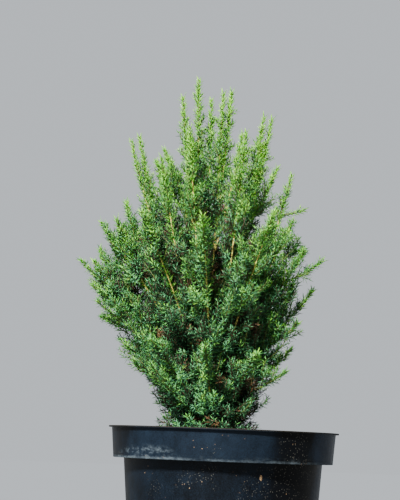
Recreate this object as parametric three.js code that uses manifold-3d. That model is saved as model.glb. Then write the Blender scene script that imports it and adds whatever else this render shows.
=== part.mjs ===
// A compact upright common juniper in a black nursery pot, about 47 cm tall with its pot.
// Units are millimetres, +Z is up, and the origin is the middle of the pot's flat underside.
// -Y is the side it is seen from. Heights of the plant are given above the growing medium.
//
// A short trunk leans a little and runs up inside the crown. Ascending boughs leave it low down,
// and each carries one plume: a stem that goes on from the bough, with a dense core, ascending
// side twigs and awl-shaped needles. Plumes share the crown out between them, so none crosses another.

import * as THREE from "three";
import Module from "manifold-3d";

const wasm = await Module();
wasm.setup();

// Pot sizes
const POT_HEIGHT = 160;
const LIP_RADIUS = 100.5;
const LIP_THICKNESS = 1.3;
const BAND_TOP_RADIUS = 97.8;
const BAND_FOOT_RADIUS = 95.6;
const BAND_DEPTH = 28;
const BODY_TOP_RADIUS = 86.5;
const FOOT_RADIUS = 76;
const FOOT_CHAMFER = 2.5;
const WALL = 1.5;
const POT_SIDES = 36;
const DRAIN_HOLES = 8;
const DRAIN_RADIUS = 4.5;
const DRAIN_CIRCLE = 60;
const DRAIN_SIDES = 6;

// Growing medium
const SOIL_DROP = 22;
const SOIL_EDGE_DROP = 3;
const SOIL_LEVEL = POT_HEIGHT - SOIL_DROP;
const SOIL_LUMP = 1.2;
const SOIL_FLAT_RADIUS = 24;

// Clearance between pieces that touch on the plant, and the width of a sliver that fusing may leave
const SEAT = 0.3;
const SLIVER = 0.03;

// Trunk: where it stands, where it ends, and its radii
const TRUNK_FOOT = [-8, 4];
const TRUNK_TIP = [-30, 1];
const TRUNK_HEIGHT = 205;
const TRUNK_BOW = [2, 4];
const TRUNK_FOOT_RADIUS = 5.6;
const TRUNK_TIP_RADIUS = 1.7;
const ROOT_FLARE = 3.6;
const ROOT_FLARE_HEIGHT = 9;
const ROOT_RIDGES = 5;
const ROOT_RIDGE_DEPTH = 0.35;
const TRUNK_TAPER = 0.8;
const TRUNK_SIDES = 10;
const TRUNK_RINGS = [0, 0.02, 0.05, 0.1, 0.2, 0.35, 0.5, 0.65, 0.8, 0.9, 1];

// Boughs
const BOUGH_FOOT_RADIUS = 2.6;
const BOUGH_TIP_RADIUS = 1.6;
const BOUGH_SIDES = 5;
const BOUGH_RINGS = 4;

// A plume's stem, and the spire it ends in
const STEM_TIP_RADIUS = 0.8;
const STEM_RINGS = 4;
const SPIRE_START = 0.68;
const SPIRE_RINGS = 8;
const SPIRE_REACH = 2.4;
const SPIRE_NEEDLE = 8;
const SPIRE_SPREAD = [34, 15];

// Its dense core, which its twigs stand out of
const CORE_SHARE = 0.52;
const CORE_SIZES = [1, 0.9, 0.8, 0.7, 0.6, 0.5];
const CORE_START = 0.06;
const CORE_END = 0.82;
const CORE_POINT = 0.9;
const CORE_RINGS = 6;
const CORE_RAYS = 6;
const CORE_TUFT = 8;
const CORE_LEAST_RADIUS = 1.3;
const CORE_STEP = 0.8;

// Its side twigs and their awl-shaped needles, angles in degrees from the shoot they grow on
const TWIG_RADIUS = 1.0;
const TWIG_TIP_RADIUS = 0.5;
const TWIG_SPREAD = [56, 26];
const TWIG_BEND = 1.15;
const TWIG_SHARES = [0, 0.42, 0.6, 0.78, 1];
const TWIG_SIZES = [1, 0.75, 0.5];
const TWIG_GAP = 20;
const TWIG_ZONE = [0.08, 0.9];
const NEEDLE_LENGTH = 9.5;
const NEEDLE_SPREAD = [46, 22];
const GOLDEN_TURN = THREE.MathUtils.degToRad(137.5);

// What is kept clear: round the border between two plumes, as a share of their reach, between one
// plume and the next or a limb, and above the medium
const BORDER = 0.03;
const CLEAR = 0.36;
const MEDIUM_CLEAR = 2;

// The crown's dense body, which side twigs stay inside: height, middle to the right, and radius.
// Only the plumes' own tips and side leaders stand out of it.
const CROWN = [
  [0, -16, 43],
  [60, -18, 52],
  [110, -22, 76],
  [160, -28, 92],
  [220, -27, 76],
  [270, -18, 50],
  [340, -26, 24],
];
const CROWN_DEPTH = 1.12;

// The habits of a plume. bend is how much of its way out, and of its way up, a limb has gone at its
// bend, slim is the length of its end over which it narrows to a spire, and bare is the share of it
// that is bough. High plumes turn upright and end in long spires, low ones lean out over the pot and
// stay full almost to the end, and the centre plumes and the skirts grow straight from the trunk.
const CENTRE = { bend: [0.6, 0.42], slim: 85, bare: 0 };
const UPRIGHT = { bend: [0.6, 0.42], slim: 85, bare: 0.18 };
const SPREADING = { bend: [0.42, 0.54], slim: 45, bare: 0.18 };
const SKIRT = { bend: [0.42, 0.54], slim: 45, bare: 0 };

// The plumes, which the foliage is made of. tip is a plume's highest shoot: to the right, away from
// the viewer, and above the medium. fork is the height at which its limb leaves the trunk, and reach
// is how far its twigs stand out at the widest. side holds the tips of its side leaders, each with
// the share of the stem that it leaves at. The leader grows on from the trunk's own tip.
const PLUMES = [
  { name: "leader", habit: CENTRE, tip: [-34, 2, 335], reach: 20 },
  { name: "left_centre", habit: CENTRE, tip: [-47, -14, 319], fork: 104, reach: 24 },
  { name: "right_centre", habit: CENTRE, tip: [-10, -12, 321], fork: 96, reach: 26,
    side: [[-2, -4, 324, 0.4]] },
  { name: "back_centre", habit: CENTRE, tip: [-21, 24, 317], fork: 108, reach: 24 },
  { name: "right_high", habit: UPRIGHT, tip: [26, 2, 306], fork: 70, reach: 28,
    side: [[33, 8, 304, 0.4], [40, -6, 258, 0.5]] },
  { name: "back_right_high", habit: UPRIGHT, tip: [18, 36, 281], fork: 64, reach: 28 },
  { name: "left_shoulder", habit: UPRIGHT, tip: [-63, -8, 272], fork: 78, reach: 28,
    side: [[-69, -18, 260, 0.5]] },
  { name: "left_high", habit: UPRIGHT, tip: [-86, 14, 284], fork: 60, reach: 28,
    side: [[-95, 2, 278, 0.4]] },
  { name: "right_shoulder", habit: UPRIGHT, tip: [53, -8, 251], fork: 52, reach: 28,
    side: [[65, -12, 219, 0.8]] },
  { name: "front_high", habit: UPRIGHT, tip: [-39, -42, 281], fork: 60, reach: 28 },
  { name: "front_right_high", habit: UPRIGHT, tip: [10, -48, 277], fork: 52, reach: 28 },
  { name: "back_high", habit: UPRIGHT, tip: [-30, 54, 288], fork: 58, reach: 28 },
  { name: "back_left_high", habit: UPRIGHT, tip: [-68, 48, 258], fork: 56, reach: 28 },
  { name: "front_left_high", habit: UPRIGHT, tip: [-62, -42, 252], fork: 48, reach: 28 },
  { name: "left_upper", habit: SPREADING, tip: [-117, -10, 202], fork: 38, reach: 30,
    side: [[-102, -26, 205, 0.5], [-96, 6, 224, 0.45]] },
  { name: "left_middle", habit: SPREADING, tip: [-134, 6, 168], fork: 26, reach: 30,
    side: [[-119, -12, 164, 0.55], [-118, 22, 181, 0.5]] },
  { name: "left_lower", habit: SPREADING, tip: [-121, -8, 145], fork: 17, reach: 30,
    side: [[-112, 14, 118, 0.6], [-114, -20, 129, 0.6]] },
  { name: "right_upper", habit: UPRIGHT, tip: [50, 18, 214], fork: 36, reach: 30,
    side: [[65, 8, 186, 0.8]] },
  { name: "right_middle", habit: SPREADING, tip: [67, -10, 182], fork: 28, reach: 30,
    side: [[84, -6, 175, 0.76]] },
  { name: "right_lower", habit: SPREADING, tip: [75, 8, 148], fork: 17, reach: 30,
    side: [[61, -10, 116, 0.5]] },
  { name: "front_left_middle", habit: SPREADING, tip: [-76, -76, 200], fork: 34, reach: 34 },
  { name: "front_middle", habit: SPREADING, tip: [-24, -88, 196], fork: 30, reach: 34 },
  { name: "front_right_middle", habit: SPREADING, tip: [36, -70, 204], fork: 38, reach: 34 },
  { name: "back_left_middle", habit: SPREADING, tip: [-90, 70, 204], fork: 33, reach: 34 },
  { name: "back_middle", habit: SPREADING, tip: [-28, 92, 196], fork: 29, reach: 34 },
  { name: "back_right_middle", habit: SPREADING, tip: [38, 72, 208], fork: 37, reach: 34 },
  { name: "left_skirt", habit: SKIRT, tip: [-94, -2, 97], fork: 12, reach: 32,
    side: [[-80, -20, 77, 0.5]] },
  { name: "front_left_skirt", habit: SKIRT, tip: [-64, -62, 94], fork: 14, reach: 34 },
  { name: "front_skirt", habit: SKIRT, tip: [-18, -74, 88], fork: 12, reach: 34 },
  { name: "front_right_skirt", habit: SKIRT, tip: [26, -52, 86], fork: 16, reach: 32 },
  { name: "right_skirt", habit: SKIRT, tip: [57, 4, 94], fork: 13, reach: 30,
    side: [[52, -14, 74, 0.5]] },
  { name: "back_right_skirt", habit: SKIRT, tip: [24, 56, 88], fork: 12, reach: 34 },
  { name: "back_skirt", habit: SKIRT, tip: [-24, 76, 92], fork: 16, reach: 34 },
  { name: "back_left_skirt", habit: SKIRT, tip: [-67, 58, 94], fork: 17, reach: 34 },
];

// How the leader bends, how far it stands from the trunk's sloping tip, how a side leader bends, and
// a side leader's size beside its plume
const LEADER_BEND = [0.4, 0.5];
const LEADER_SEAT = 0.46;
const SIDE_BEND = [0.6, 0.45];
const SIDE_SCALE = 0.5;
const SIDE_RINGS = 6;

// Materials
const surface = (color, roughness) =>
  new THREE.MeshStandardMaterial({ color, roughness, metalness: 0 });
const potPlastic = surface("#1b1f26", 0.5);
const growingMedium = surface("#4a3526", 0.95);
const bark = surface("#8a5a3a", 0.85);
const needles = surface("#3f7a4a", 0.6);

const point = (x, y, h) => new THREE.Vector3(x, y, SOIL_LEVEL + h);
const mix = THREE.MathUtils.lerp;
const between = ([low, high], share) => THREE.MathUtils.degToRad(mix(low, high, share));
const spaced = (from, to, count) =>
  Array.from({ length: count }, (_, i) => mix(from, to, i / (count - 1)));

// A number from 0 to 1 that is always the same for the same plume, twig and use.
function chance(plume, twig, use) {
  const parts = [[plume, 374761393], [twig, 668265263], [use, 974711]];
  const sum = parts.reduce((total, [value, prime]) => (total + Math.imul(value + 1, prime)) | 0, 0);
  const n = Math.imul(sum ^ (sum >>> 13), 1274126177);
  return ((n ^ (n >>> 16)) >>> 0) / 2 ** 32;
}

// Two directions across a curve that don't turn as it bends.
function acrossOf(curve) {
  const chord = curve.getPoint(1).sub(curve.getPoint(0)).normalize();
  const fixed = Math.abs(chord.y) < 0.8 ? new THREE.Vector3(0, 1, 0) : new THREE.Vector3(1, 0, 0);
  return (t) => {
    const along = curve.getTangent(t);
    const side = new THREE.Vector3().crossVectors(along, fixed).normalize();
    return { along, side, other: new THREE.Vector3().crossVectors(along, side) };
  };
}

const outward = ({ side, other }, turn) =>
  side.clone().multiplyScalar(Math.cos(turn)).addScaledVector(other, Math.sin(turn));

// A closed solid over rings of points. A ring of one point is a sharp tip.
function loft(rings) {
  const vertices = [];
  const triangles = [];
  const starts = rings.map((ring) => {
    const start = vertices.length / 3;
    ring.forEach((p) => vertices.push(p.x, p.y, p.z));
    return start;
  });
  rings.slice(1).forEach((upper, i) => {
    const n = rings[i].length;
    for (let k = 0; k < n; k++) {
      const a = starts[i] + k;
      const b = starts[i] + ((k + 1) % n);
      if (upper.length === 1) {
        triangles.push(a, b, starts[i + 1]);
        continue;
      }
      const c = starts[i + 1] + k;
      const d = starts[i + 1] + ((k + 1) % n);
      triangles.push(a, b, d, a, d, c);
    }
  });
  const cap = (start, n, facingUp) => {
    for (let k = 1; k < n - 1; k++) {
      const [p, q] = facingUp ? [start + k, start + k + 1] : [start + k + 1, start + k];
      triangles.push(start, p, q);
    }
  };
  cap(starts[0], rings[0].length, false);
  cap(starts.at(-1), rings.at(-1).length, true);
  return solid(new Float32Array(vertices), new Uint32Array(triangles));
}

const solid = (vertProperties, triVerts) =>
  new wasm.Manifold(new wasm.Mesh({ numProp: 3, vertProperties, triVerts }));

// A closed three.js geometry as a solid
function solidOf(geometry) {
  const { vertices, triangles } = welded(geometry);
  return solid(new Float32Array(vertices), new Uint32Array(triangles));
}

// A geometry's corners merged by place, to a thousandth of a millimetre
function welded(geometry) {
  const flat = geometry.index ? geometry.toNonIndexed() : geometry;
  const position = flat.getAttribute("position");
  const seen = new Map();
  const vertices = [];
  const corners = [];
  for (let i = 0; i < position.count; i++) {
    const place = [position.getX(i), position.getY(i), position.getZ(i)];
    const p = place.map((v) => Math.round(v * 1e3) / 1e3 + 0);
    const key = p.join();
    if (!seen.has(key)) {
      seen.set(key, vertices.length / 3);
      vertices.push(...p);
    }
    corners.push(seen.get(key));
  }
  const triangles = [];
  for (let i = 0; i < corners.length; i += 3) {
    const [a, b, c] = corners.slice(i, i + 3);
    if (a !== b && b !== c && c !== a) triangles.push(a, b, c);
  }
  return { vertices, triangles };
}

// Whether just two faces meet at every edge of a solid, so that it touches itself nowhere
function isSound(body) {
  const { triangles } = welded(geometryOf(body));
  const edges = new Set();
  for (let i = 0; i < triangles.length; i += 3) {
    for (let k = 0; k < 3; k++) edges.add(`${triangles[i + k]} ${triangles[i + ((k + 1) % 3)]}`);
  }
  return edges.size === triangles.length;
}

// The largest closed body of a solid, without scraps, sealed hollows and hair-thin slivers
function mainBody(whole) {
  const largest = (body) =>
    body
      .decompose()
      .filter((piece) => piece.volume() > 0)
      .sort((a, b) => b.volume() - a.volume())[0];
  const cleaned = (width) => largest(solidOf(geometryOf(largest(whole).simplify(width))));
  const tries = [SLIVER, 2 * SLIVER, 4 * SLIVER].map(cleaned);
  return tries.find(isSound) ?? tries[0];
}

function geometryOf(body) {
  const { vertProperties, triVerts, numProp, numVert } = body.getMesh();
  const place = new Float32Array(numVert * 3);
  for (let i = 0; i < numVert; i++) {
    place.set(vertProperties.subarray(i * numProp, i * numProp + 3), i * 3);
  }
  return new THREE.BufferGeometry()
    .setAttribute("position", new THREE.BufferAttribute(place, 3))
    .setIndex(new THREE.BufferAttribute(triVerts, 1));
}

// A limb along a curve. radiusAt gives its radius at a share of the curve and a turn about it.
function limb(curve, from, to, rings, sides, radiusAt) {
  const across = acrossOf(curve);
  return loft(
    Array.from({ length: rings }, (_, i) => {
      const t = mix(from, to, i / (rings - 1));
      const here = across(t);
      const middle = curve.getPoint(t);
      return Array.from({ length: sides }, (_, k) => {
        const turn = (2 * Math.PI * k) / sides;
        return middle.clone().addScaledVector(outward(here, turn), radiusAt(t, turn));
      });
    }),
  );
}

// The trunk: its line, its radius, and a flat cut where it stands on the medium
const trunkLine = new THREE.QuadraticBezierCurve3(
  point(...TRUNK_FOOT, SEAT),
  point(
    (TRUNK_FOOT[0] + TRUNK_TIP[0]) / 2 + TRUNK_BOW[0],
    (TRUNK_FOOT[1] + TRUNK_TIP[1]) / 2 + TRUNK_BOW[1],
    TRUNK_HEIGHT / 2,
  ),
  point(...TRUNK_TIP, TRUNK_HEIGHT),
);

function trunkRadius(t, turn = 0) {
  const height = t * TRUNK_HEIGHT;
  const flare = ROOT_FLARE * Math.exp(-height / ROOT_FLARE_HEIGHT);
  const ridge = 1 + ROOT_RIDGE_DEPTH * Math.cos(ROOT_RIDGES * turn);
  return mix(TRUNK_FOOT_RADIUS, TRUNK_TIP_RADIUS, t ** TRUNK_TAPER) + flare * ridge;
}

function trunkSolid(grow = 0) {
  const level = { side: new THREE.Vector3(-1, 0, 0), other: new THREE.Vector3(0, -1, 0) };
  const across = acrossOf(trunkLine);
  return loft(
    TRUNK_RINGS.map((t) => {
      const here = t === 0 ? level : across(t);
      const middle = trunkLine.getPoint(t);
      return Array.from({ length: TRUNK_SIDES }, (_, k) => {
        const turn = (2 * Math.PI * k) / TRUNK_SIDES;
        return middle.clone().addScaledVector(outward(here, turn), trunkRadius(t, turn) + grow);
      });
    }),
  );
}

// A limb's line: from its foot, through its bend, to its tip
function arc(foot, tip, [out, up]) {
  const bend = foot.clone().lerp(tip, out).setZ(mix(foot.z, tip.z, up));
  return new THREE.QuadraticBezierCurve3(foot, bend, tip);
}

// The line of each plume's limb, from the trunk's axis or tip, and the lines of its side leaders
const plumes = PLUMES.map((plume, index) => {
  const { bend, bare } = plume.habit;
  const foot = plume.fork
    ? trunkLine.getPoint(plume.fork / TRUNK_HEIGHT)
    : trunkLine.getPoint(1).addScaledVector(trunkLine.getTangent(1), LEADER_SEAT);
  const line = arc(foot, point(...plume.tip), plume.fork ? bend : LEADER_BEND);
  const from = bare ? bare + SEAT / line.getLength() : 0;
  const leaders = (plume.side ?? []).map(([x, y, h, share]) =>
    arc(line.getPoint(mix(from, 1, share)), point(x, y, h), SIDE_BEND),
  );
  const length = line.getLength() * (1 - from);
  return { ...plume, index, line, bare, from, length, leaders };
});

// How far a place in the crown lies from the trunk
const trunkPoints = spaced(0, 1, 12).map((t) => trunkLine.getPoint(t));
const fromTrunk = (p) => Math.min(...trunkPoints.map((q) => q.distanceTo(p)));

const boughRadius = (share) => mix(BOUGH_FOOT_RADIUS, BOUGH_TIP_RADIUS, share);
const boughSolid = ({ line, bare }, grow = 0) =>
  limb(line, 0, bare, BOUGH_RINGS, BOUGH_SIDES, (t) => boughRadius(t / bare) + grow);

// Points along every plume's stem and side leaders, which share the crown out between them
const stemPoints = plumes.map(({ line, from, leaders }) => [
  ...spaced(from, 1, 31).map((t) => line.getPoint(t)),
  ...leaders.flatMap((leader) => spaced(1 / 12, 1, 12).map((t) => leader.getPoint(t))),
]);
const nearness = (p, index) =>
  Math.sqrt(Math.min(...stemPoints[index].map((s) => s.distanceToSquared(p)))) / PLUMES[index].reach;

// Whether a point lies in a plume's own part of the crown, above the medium
function inOwnSpace(p, index) {
  if (p.z < SOIL_LEVEL + MEDIUM_CLEAR || !inCrown(p)) return false;
  const own = nearness(p, index) + BORDER;
  return plumes.every((other) => other.index === index || nearness(p, other.index) > own);
}

// Whether a point lies inside the crown's dense body
function inCrown(p) {
  const height = p.z - SOIL_LEVEL;
  const row = Math.max(1, CROWN.findIndex(([top]) => top >= height));
  const [low, high] = [CROWN[row - 1], CROWN[row]];
  const share = (height - low[0]) / (high[0] - low[0]);
  const across = Math.hypot(p.x - mix(low[1], high[1], share), p.y / CROWN_DEPTH);
  return across < mix(low[2], high[2], share);
}

// How far a plume's twigs stand out at a share of its stem, from its foot to its tip
function reachAt(plume, share) {
  const swell = Math.min(1, (share + 0.06) / 0.2) ** 0.5;
  const narrowing = 1 - Math.exp(-((((1 - share) * plume.length) / plume.habit.slim) ** 2));
  return SPIRE_REACH + (plume.reach - SPIRE_REACH) * swell * narrowing;
}

// A slim three-sided shoot with needles: every ring between its foot and its tip has one corner
// drawn out to a needle, each a third of a turn on from the last.
function shoot(curve, shares, radiusAt, needleAt) {
  const across = acrossOf(curve);
  return loft(
    shares.map((t, i) => {
      const here = across(t);
      const middle = curve.getPoint(t);
      if (i === shares.length - 1) return [middle];
      return [0, 1, 2].map((k) => {
        const out = outward(here, (2 * Math.PI * k) / 3);
        const [length, spread] = i > 0 && (i + k) % 3 === 0 ? needleAt(t) : [0, 0];
        return middle
          .clone()
          .addScaledVector(out, Math.max(radiusAt(t), length * Math.sin(spread)))
          .addScaledVector(here.along, length * Math.cos(spread));
      });
    }),
  );
}

// A stem or side leader, bare below, with needles on its spire
function stemShoot(curve, from, spireRings) {
  const spire = mix(from, 1, SPIRE_START);
  const shares = [...spaced(from, spire, STEM_RINGS).slice(0, -1), ...spaced(spire, 1, spireRings)];
  const radiusAt = (t) => mix(BOUGH_TIP_RADIUS, STEM_TIP_RADIUS, (t - from) / (1 - from));
  return shoot(curve, shares, radiusAt, (t) =>
    t < spire ? [0, 0] : [SPIRE_NEEDLE, between(SPIRE_SPREAD, (t - spire) / (1 - spire))],
  );
}

// The dense middle of a plume, tufted, and pulled in wherever it would leave the plume's own space
function coreSolid(plume, size) {
  const across = acrossOf(plume.line);
  return loft(
    spaced(CORE_START, CORE_END, CORE_RINGS)
      .map((share, i) => {
        const t = mix(plume.from, 1, share);
        const here = across(t);
        const middle = plume.line.getPoint(t);
        const wanted = CORE_SHARE * size * reachAt(plume, share);
        return Array.from({ length: CORE_RAYS }, (_, k) => {
          const ray = outward(here, (2 * Math.PI * (k + 0.5 * (i % 2))) / CORE_RAYS);
          const tuft = (i + k) % 2 ? 0 : CORE_TUFT * size * (1 - share);
          const full = wanted * (0.85 + 0.3 * chance(plume.index, i * CORE_RAYS + k, 1)) + tuft;
          const lifted = middle.clone().addScaledVector(here.along, tuft);
          const corner = (radius) => lifted.clone().addScaledVector(ray, radius);
          let radius = CORE_LEAST_RADIUS;
          while (radius < full && inOwnSpace(corner(radius + CORE_STEP), plume.index)) {
            radius += CORE_STEP;
          }
          return corner(Math.min(radius, full));
        });
      })
      .concat([[plume.line.getPoint(mix(plume.from, 1, CORE_POINT))]]),
  );
}

// The line of a side twig: it leaves its stem at a wide angle and bends up towards the stem's direction
function twigLine(plume, curve, from, share, number, scale, seed, size) {
  const t = mix(from, 1, share);
  const here = acrossOf(curve)(t);
  const out = outward(here, number * GOLDEN_TURN + 1.2 * chance(plume.index, seed, 2));
  const spread = between(TWIG_SPREAD, share) * (0.85 + 0.3 * chance(plume.index, seed, 3));
  const reach = scale * reachAt(plume, share) * (0.95 + 0.35 * chance(plume.index, seed, 4));
  const length = (size * reach) / Math.sin(spread);
  const foot = curve.getPoint(t);
  const at = (angle, far) =>
    foot
      .clone()
      .addScaledVector(here.along, Math.cos(angle) * far)
      .addScaledVector(out, Math.sin(angle) * far);
  return new THREE.QuadraticBezierCurve3(foot, at(spread * TWIG_BEND, length / 2), at(spread, length));
}

const twigShoot = (line) =>
  shoot(
    line,
    TWIG_SHARES,
    (t) => mix(TWIG_RADIUS, TWIG_TIP_RADIUS, t),
    (t) => [NEEDLE_LENGTH * (1 - t / 4), between(NEEDLE_SPREAD, t)],
  );

// The limbs and plume pieces placed so far, each with its owner
const limbs = [];
const foliage = [];
function place(list, body, owner) {
  list.push({ body, owner, box: body.boundingBox() });
  return body;
}

// Whether a solid keeps clear of all that is placed in a list but its owner's own
function isClear(list, body, owner) {
  const box = body.boundingBox();
  const near = (other) =>
    [0, 1, 2].every((i) => box.min[i] - CLEAR < other.max[i] && other.min[i] - CLEAR < box.max[i]);
  return list.every(
    (other) => other.owner === owner || !near(other.box) || body.minGap(other.body, 2 * CLEAR) >= CLEAR,
  );
}

// Pot: a lathe profile, outside and in, with drain holes through the floor
const bandFoot = POT_HEIGHT - BAND_DEPTH;
const turned = (profile) =>
  new THREE.LatheGeometry(
    profile.map(([r, z]) => new THREE.Vector2(r, z)),
    POT_SIDES,
  ).rotateX(Math.PI / 2);

function potSolid() {
  const shell = turned([
    [0, 0],
    [FOOT_RADIUS - FOOT_CHAMFER, 0],
    [FOOT_RADIUS, FOOT_CHAMFER],
    [BODY_TOP_RADIUS, bandFoot],
    [BAND_FOOT_RADIUS, bandFoot],
    [BAND_TOP_RADIUS, POT_HEIGHT - LIP_THICKNESS],
    [LIP_RADIUS, POT_HEIGHT - LIP_THICKNESS],
    [LIP_RADIUS, POT_HEIGHT],
    [BAND_TOP_RADIUS - WALL, POT_HEIGHT],
    [BAND_FOOT_RADIUS - WALL, bandFoot + WALL],
    [BODY_TOP_RADIUS - WALL, bandFoot + WALL],
    [FOOT_RADIUS - WALL, FOOT_CHAMFER],
    [FOOT_RADIUS - FOOT_CHAMFER - WALL, WALL],
    [0, WALL],
  ]);
  const holes = Array.from({ length: DRAIN_HOLES }, (_, i) => {
    const turn = (2 * Math.PI * i) / DRAIN_HOLES;
    const drill = new THREE.CylinderGeometry(DRAIN_RADIUS, DRAIN_RADIUS, 6 * WALL, DRAIN_SIDES);
    drill.rotateX(Math.PI / 2);
    return solidOf(drill.translate(DRAIN_CIRCLE * Math.cos(turn), DRAIN_CIRCLE * Math.sin(turn), 0));
  });
  return solidOf(shell).subtract(wasm.Manifold.union(holes));
}

// Growing medium: fills the pot to a little under its lip, lumpy but for the flat patch under the trunk
function soilSolid() {
  const gap = WALL + SEAT;
  const edge = SOIL_LEVEL - SOIL_EDGE_DROP;
  const bandShare = (edge - bandFoot - WALL) / (BAND_DEPTH - WALL);
  const geometry = turned([
    [0, gap],
    [FOOT_RADIUS - FOOT_CHAMFER - gap, gap],
    [FOOT_RADIUS - gap, FOOT_CHAMFER + SEAT],
    [BODY_TOP_RADIUS - gap, bandFoot + gap],
    [BAND_FOOT_RADIUS - gap, bandFoot + gap],
    [mix(BAND_FOOT_RADIUS, BAND_TOP_RADIUS, bandShare) - gap, edge],
    [80, SOIL_LEVEL - 1.5],
    [62, SOIL_LEVEL - 0.5],
    [44, SOIL_LEVEL],
    [0, SOIL_LEVEL],
  ]);
  const position = geometry.getAttribute("position");
  for (let i = 0; i < position.count; i++) {
    const [x, y, z] = [position.getX(i), position.getY(i), position.getZ(i)];
    const radius = Math.hypot(x, y);
    if (z < edge + 0.1 || radius < SOIL_FLAT_RADIUS) continue;
    position.setZ(i, z + SOIL_LUMP * Math.sin(x / 9) * Math.cos(y / 11) - SOIL_LUMP);
  }
  return solidOf(geometry);
}

// The group of named meshes
const root = new THREE.Group();

function addPiece(name, body, material) {
  const geometry = geometryOf(body);
  geometry.computeVertexNormals();
  const mesh = new THREE.Mesh(geometry, material);
  mesh.name = name;
  root.add(mesh);
}

addPiece("pot", potSolid(), potPlastic);
addPiece("growing_medium", soilSolid(), growingMedium);
addPiece("trunk", trunkSolid(), bark);

// Each bough is cut to seat on the trunk, and clear of the boughs made before it
const cutters = [trunkSolid(SEAT)];
place(limbs, trunkSolid(), "trunk");
for (const plume of plumes.filter((p) => p.bare)) {
  const bough = mainBody(boughSolid(plume).subtract(wasm.Manifold.union(cutters)));
  addPiece(`${plume.name}_bough`, bough, bark);
  place(limbs, bough, "boughs");
  cutters.push(boughSolid(plume, SEAT));
}

// Each plume's pieces: stem and side leaders first, then cores, then the twigs that find room. A twig
// that would point in towards the trunk gets no light, so it is left out.
for (const plume of plumes) {
  const ownBough = plumes.filter((p) => p.bare).indexOf(plume) + 1;
  plume.limbs = wasm.Manifold.union(cutters.filter((_, i) => i === 0 || i !== ownBough));
  plume.shoots = [
    { curve: plume.line, from: plume.from, scale: 1, rings: SPIRE_RINGS },
    ...plume.leaders.map((curve) => ({ curve, from: 0, scale: SIDE_SCALE, rings: SIDE_RINGS })),
  ];
  plume.pieces = plume.shoots.map(({ curve, from, rings }) =>
    place(foliage, stemShoot(curve, from, rings).subtract(plume.limbs), plume.name),
  );
}
for (const plume of plumes) {
  for (const size of CORE_SIZES) {
    const core = coreSolid(plume, size).subtract(plume.limbs);
    if (!isClear(foliage, core, plume.name)) continue;
    plume.pieces.push(place(foliage, core, plume.name));
    break;
  }
}
for (const plume of plumes) {
  plume.shoots.forEach(({ curve, from, scale }, which) => {
    const count = Math.round((curve.getLength() * (1 - from)) / TWIG_GAP);
    for (let i = 0; i < count; i++) {
      const share = mix(...TWIG_ZONE, (i + 0.5) / count);
      for (const size of TWIG_SIZES) {
        const line = twigLine(plume, curve, from, share, i, scale, which * 100 + i, size);
        const twig = twigShoot(line);
        const [foot, tip] = [line.getPoint(0), line.getPoint(1)];
        if (!inCrown(tip) || fromTrunk(tip) < fromTrunk(foot)) continue;
        if (twig.boundingBox().min[2] < SOIL_LEVEL + MEDIUM_CLEAR) continue;
        if (!isClear(limbs, twig, plume.name) || !isClear(foliage, twig, plume.name)) continue;
        plume.pieces.push(place(foliage, twig, plume.name));
        break;
      }
    }
  });
  addPiece(`${plume.name}_plume`, mainBody(wasm.Manifold.union(plume.pieces)), needles);
}

export default root;
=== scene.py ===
import math

import bpy
import numpy as np
from mathutils import Matrix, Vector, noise


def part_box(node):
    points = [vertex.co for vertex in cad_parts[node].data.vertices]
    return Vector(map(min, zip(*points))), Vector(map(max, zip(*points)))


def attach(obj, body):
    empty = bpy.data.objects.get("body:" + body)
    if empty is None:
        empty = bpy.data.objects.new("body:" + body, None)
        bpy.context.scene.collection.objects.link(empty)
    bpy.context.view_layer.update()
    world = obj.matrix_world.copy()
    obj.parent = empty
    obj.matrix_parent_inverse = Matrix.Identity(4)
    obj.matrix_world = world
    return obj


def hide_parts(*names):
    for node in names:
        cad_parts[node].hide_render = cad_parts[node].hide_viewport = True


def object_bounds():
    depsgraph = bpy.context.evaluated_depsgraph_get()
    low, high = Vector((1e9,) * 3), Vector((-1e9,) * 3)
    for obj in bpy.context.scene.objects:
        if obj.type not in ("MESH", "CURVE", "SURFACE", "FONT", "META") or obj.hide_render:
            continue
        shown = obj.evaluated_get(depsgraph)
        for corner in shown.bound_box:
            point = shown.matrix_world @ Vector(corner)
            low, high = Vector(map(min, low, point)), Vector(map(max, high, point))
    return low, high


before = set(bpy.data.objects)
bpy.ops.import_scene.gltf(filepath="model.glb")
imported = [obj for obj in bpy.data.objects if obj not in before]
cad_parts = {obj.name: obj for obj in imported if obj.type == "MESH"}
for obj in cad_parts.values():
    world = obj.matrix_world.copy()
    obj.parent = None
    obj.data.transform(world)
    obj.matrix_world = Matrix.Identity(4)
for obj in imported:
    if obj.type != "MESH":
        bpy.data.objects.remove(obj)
cad_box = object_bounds()

# The nursery pot: one thin moulded shell of black plastic. A deep band under a narrow lip stiffens its
# rim, and the body below tapers to a flat foot with eight drain holes. Standing out in the weather has
# left it dusty, with chalky water marks along the foot of the band.
MM = 0.001
LIP_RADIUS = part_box("pot")[1].x
POT_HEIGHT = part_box("pot")[1].z
LIP_THICKNESS = 1.3 * MM
BAND_TOP_RADIUS = 97.8 * MM
BAND_FOOT_RADIUS = 95.6 * MM
BAND_DEPTH = 27 * MM
BAND_FOOT = POT_HEIGHT - BAND_DEPTH
BODY_TOP_RADIUS = 86.5 * MM
FOOT_RADIUS = 76 * MM
FOOT_CHAMFER = 2.5 * MM
WALL = 1.5 * MM
POT_SIDES = 144
BODY_RINGS = 12
BAND_RINGS = 5
INNER_RINGS = 8
DRAIN_HOLES = 8
DRAIN_SIDES = 24
DRAIN_RADIUS = 4.5 * MM
DRAIN_CIRCLE = 60 * MM
EDGE_ROUNDING = 0.45 * MM
SAG = 1.6 * MM
SAG_WIDTHS = {"X": 0.11, "Y": 0.14}
SHARP_EDGE = 0.6


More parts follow.
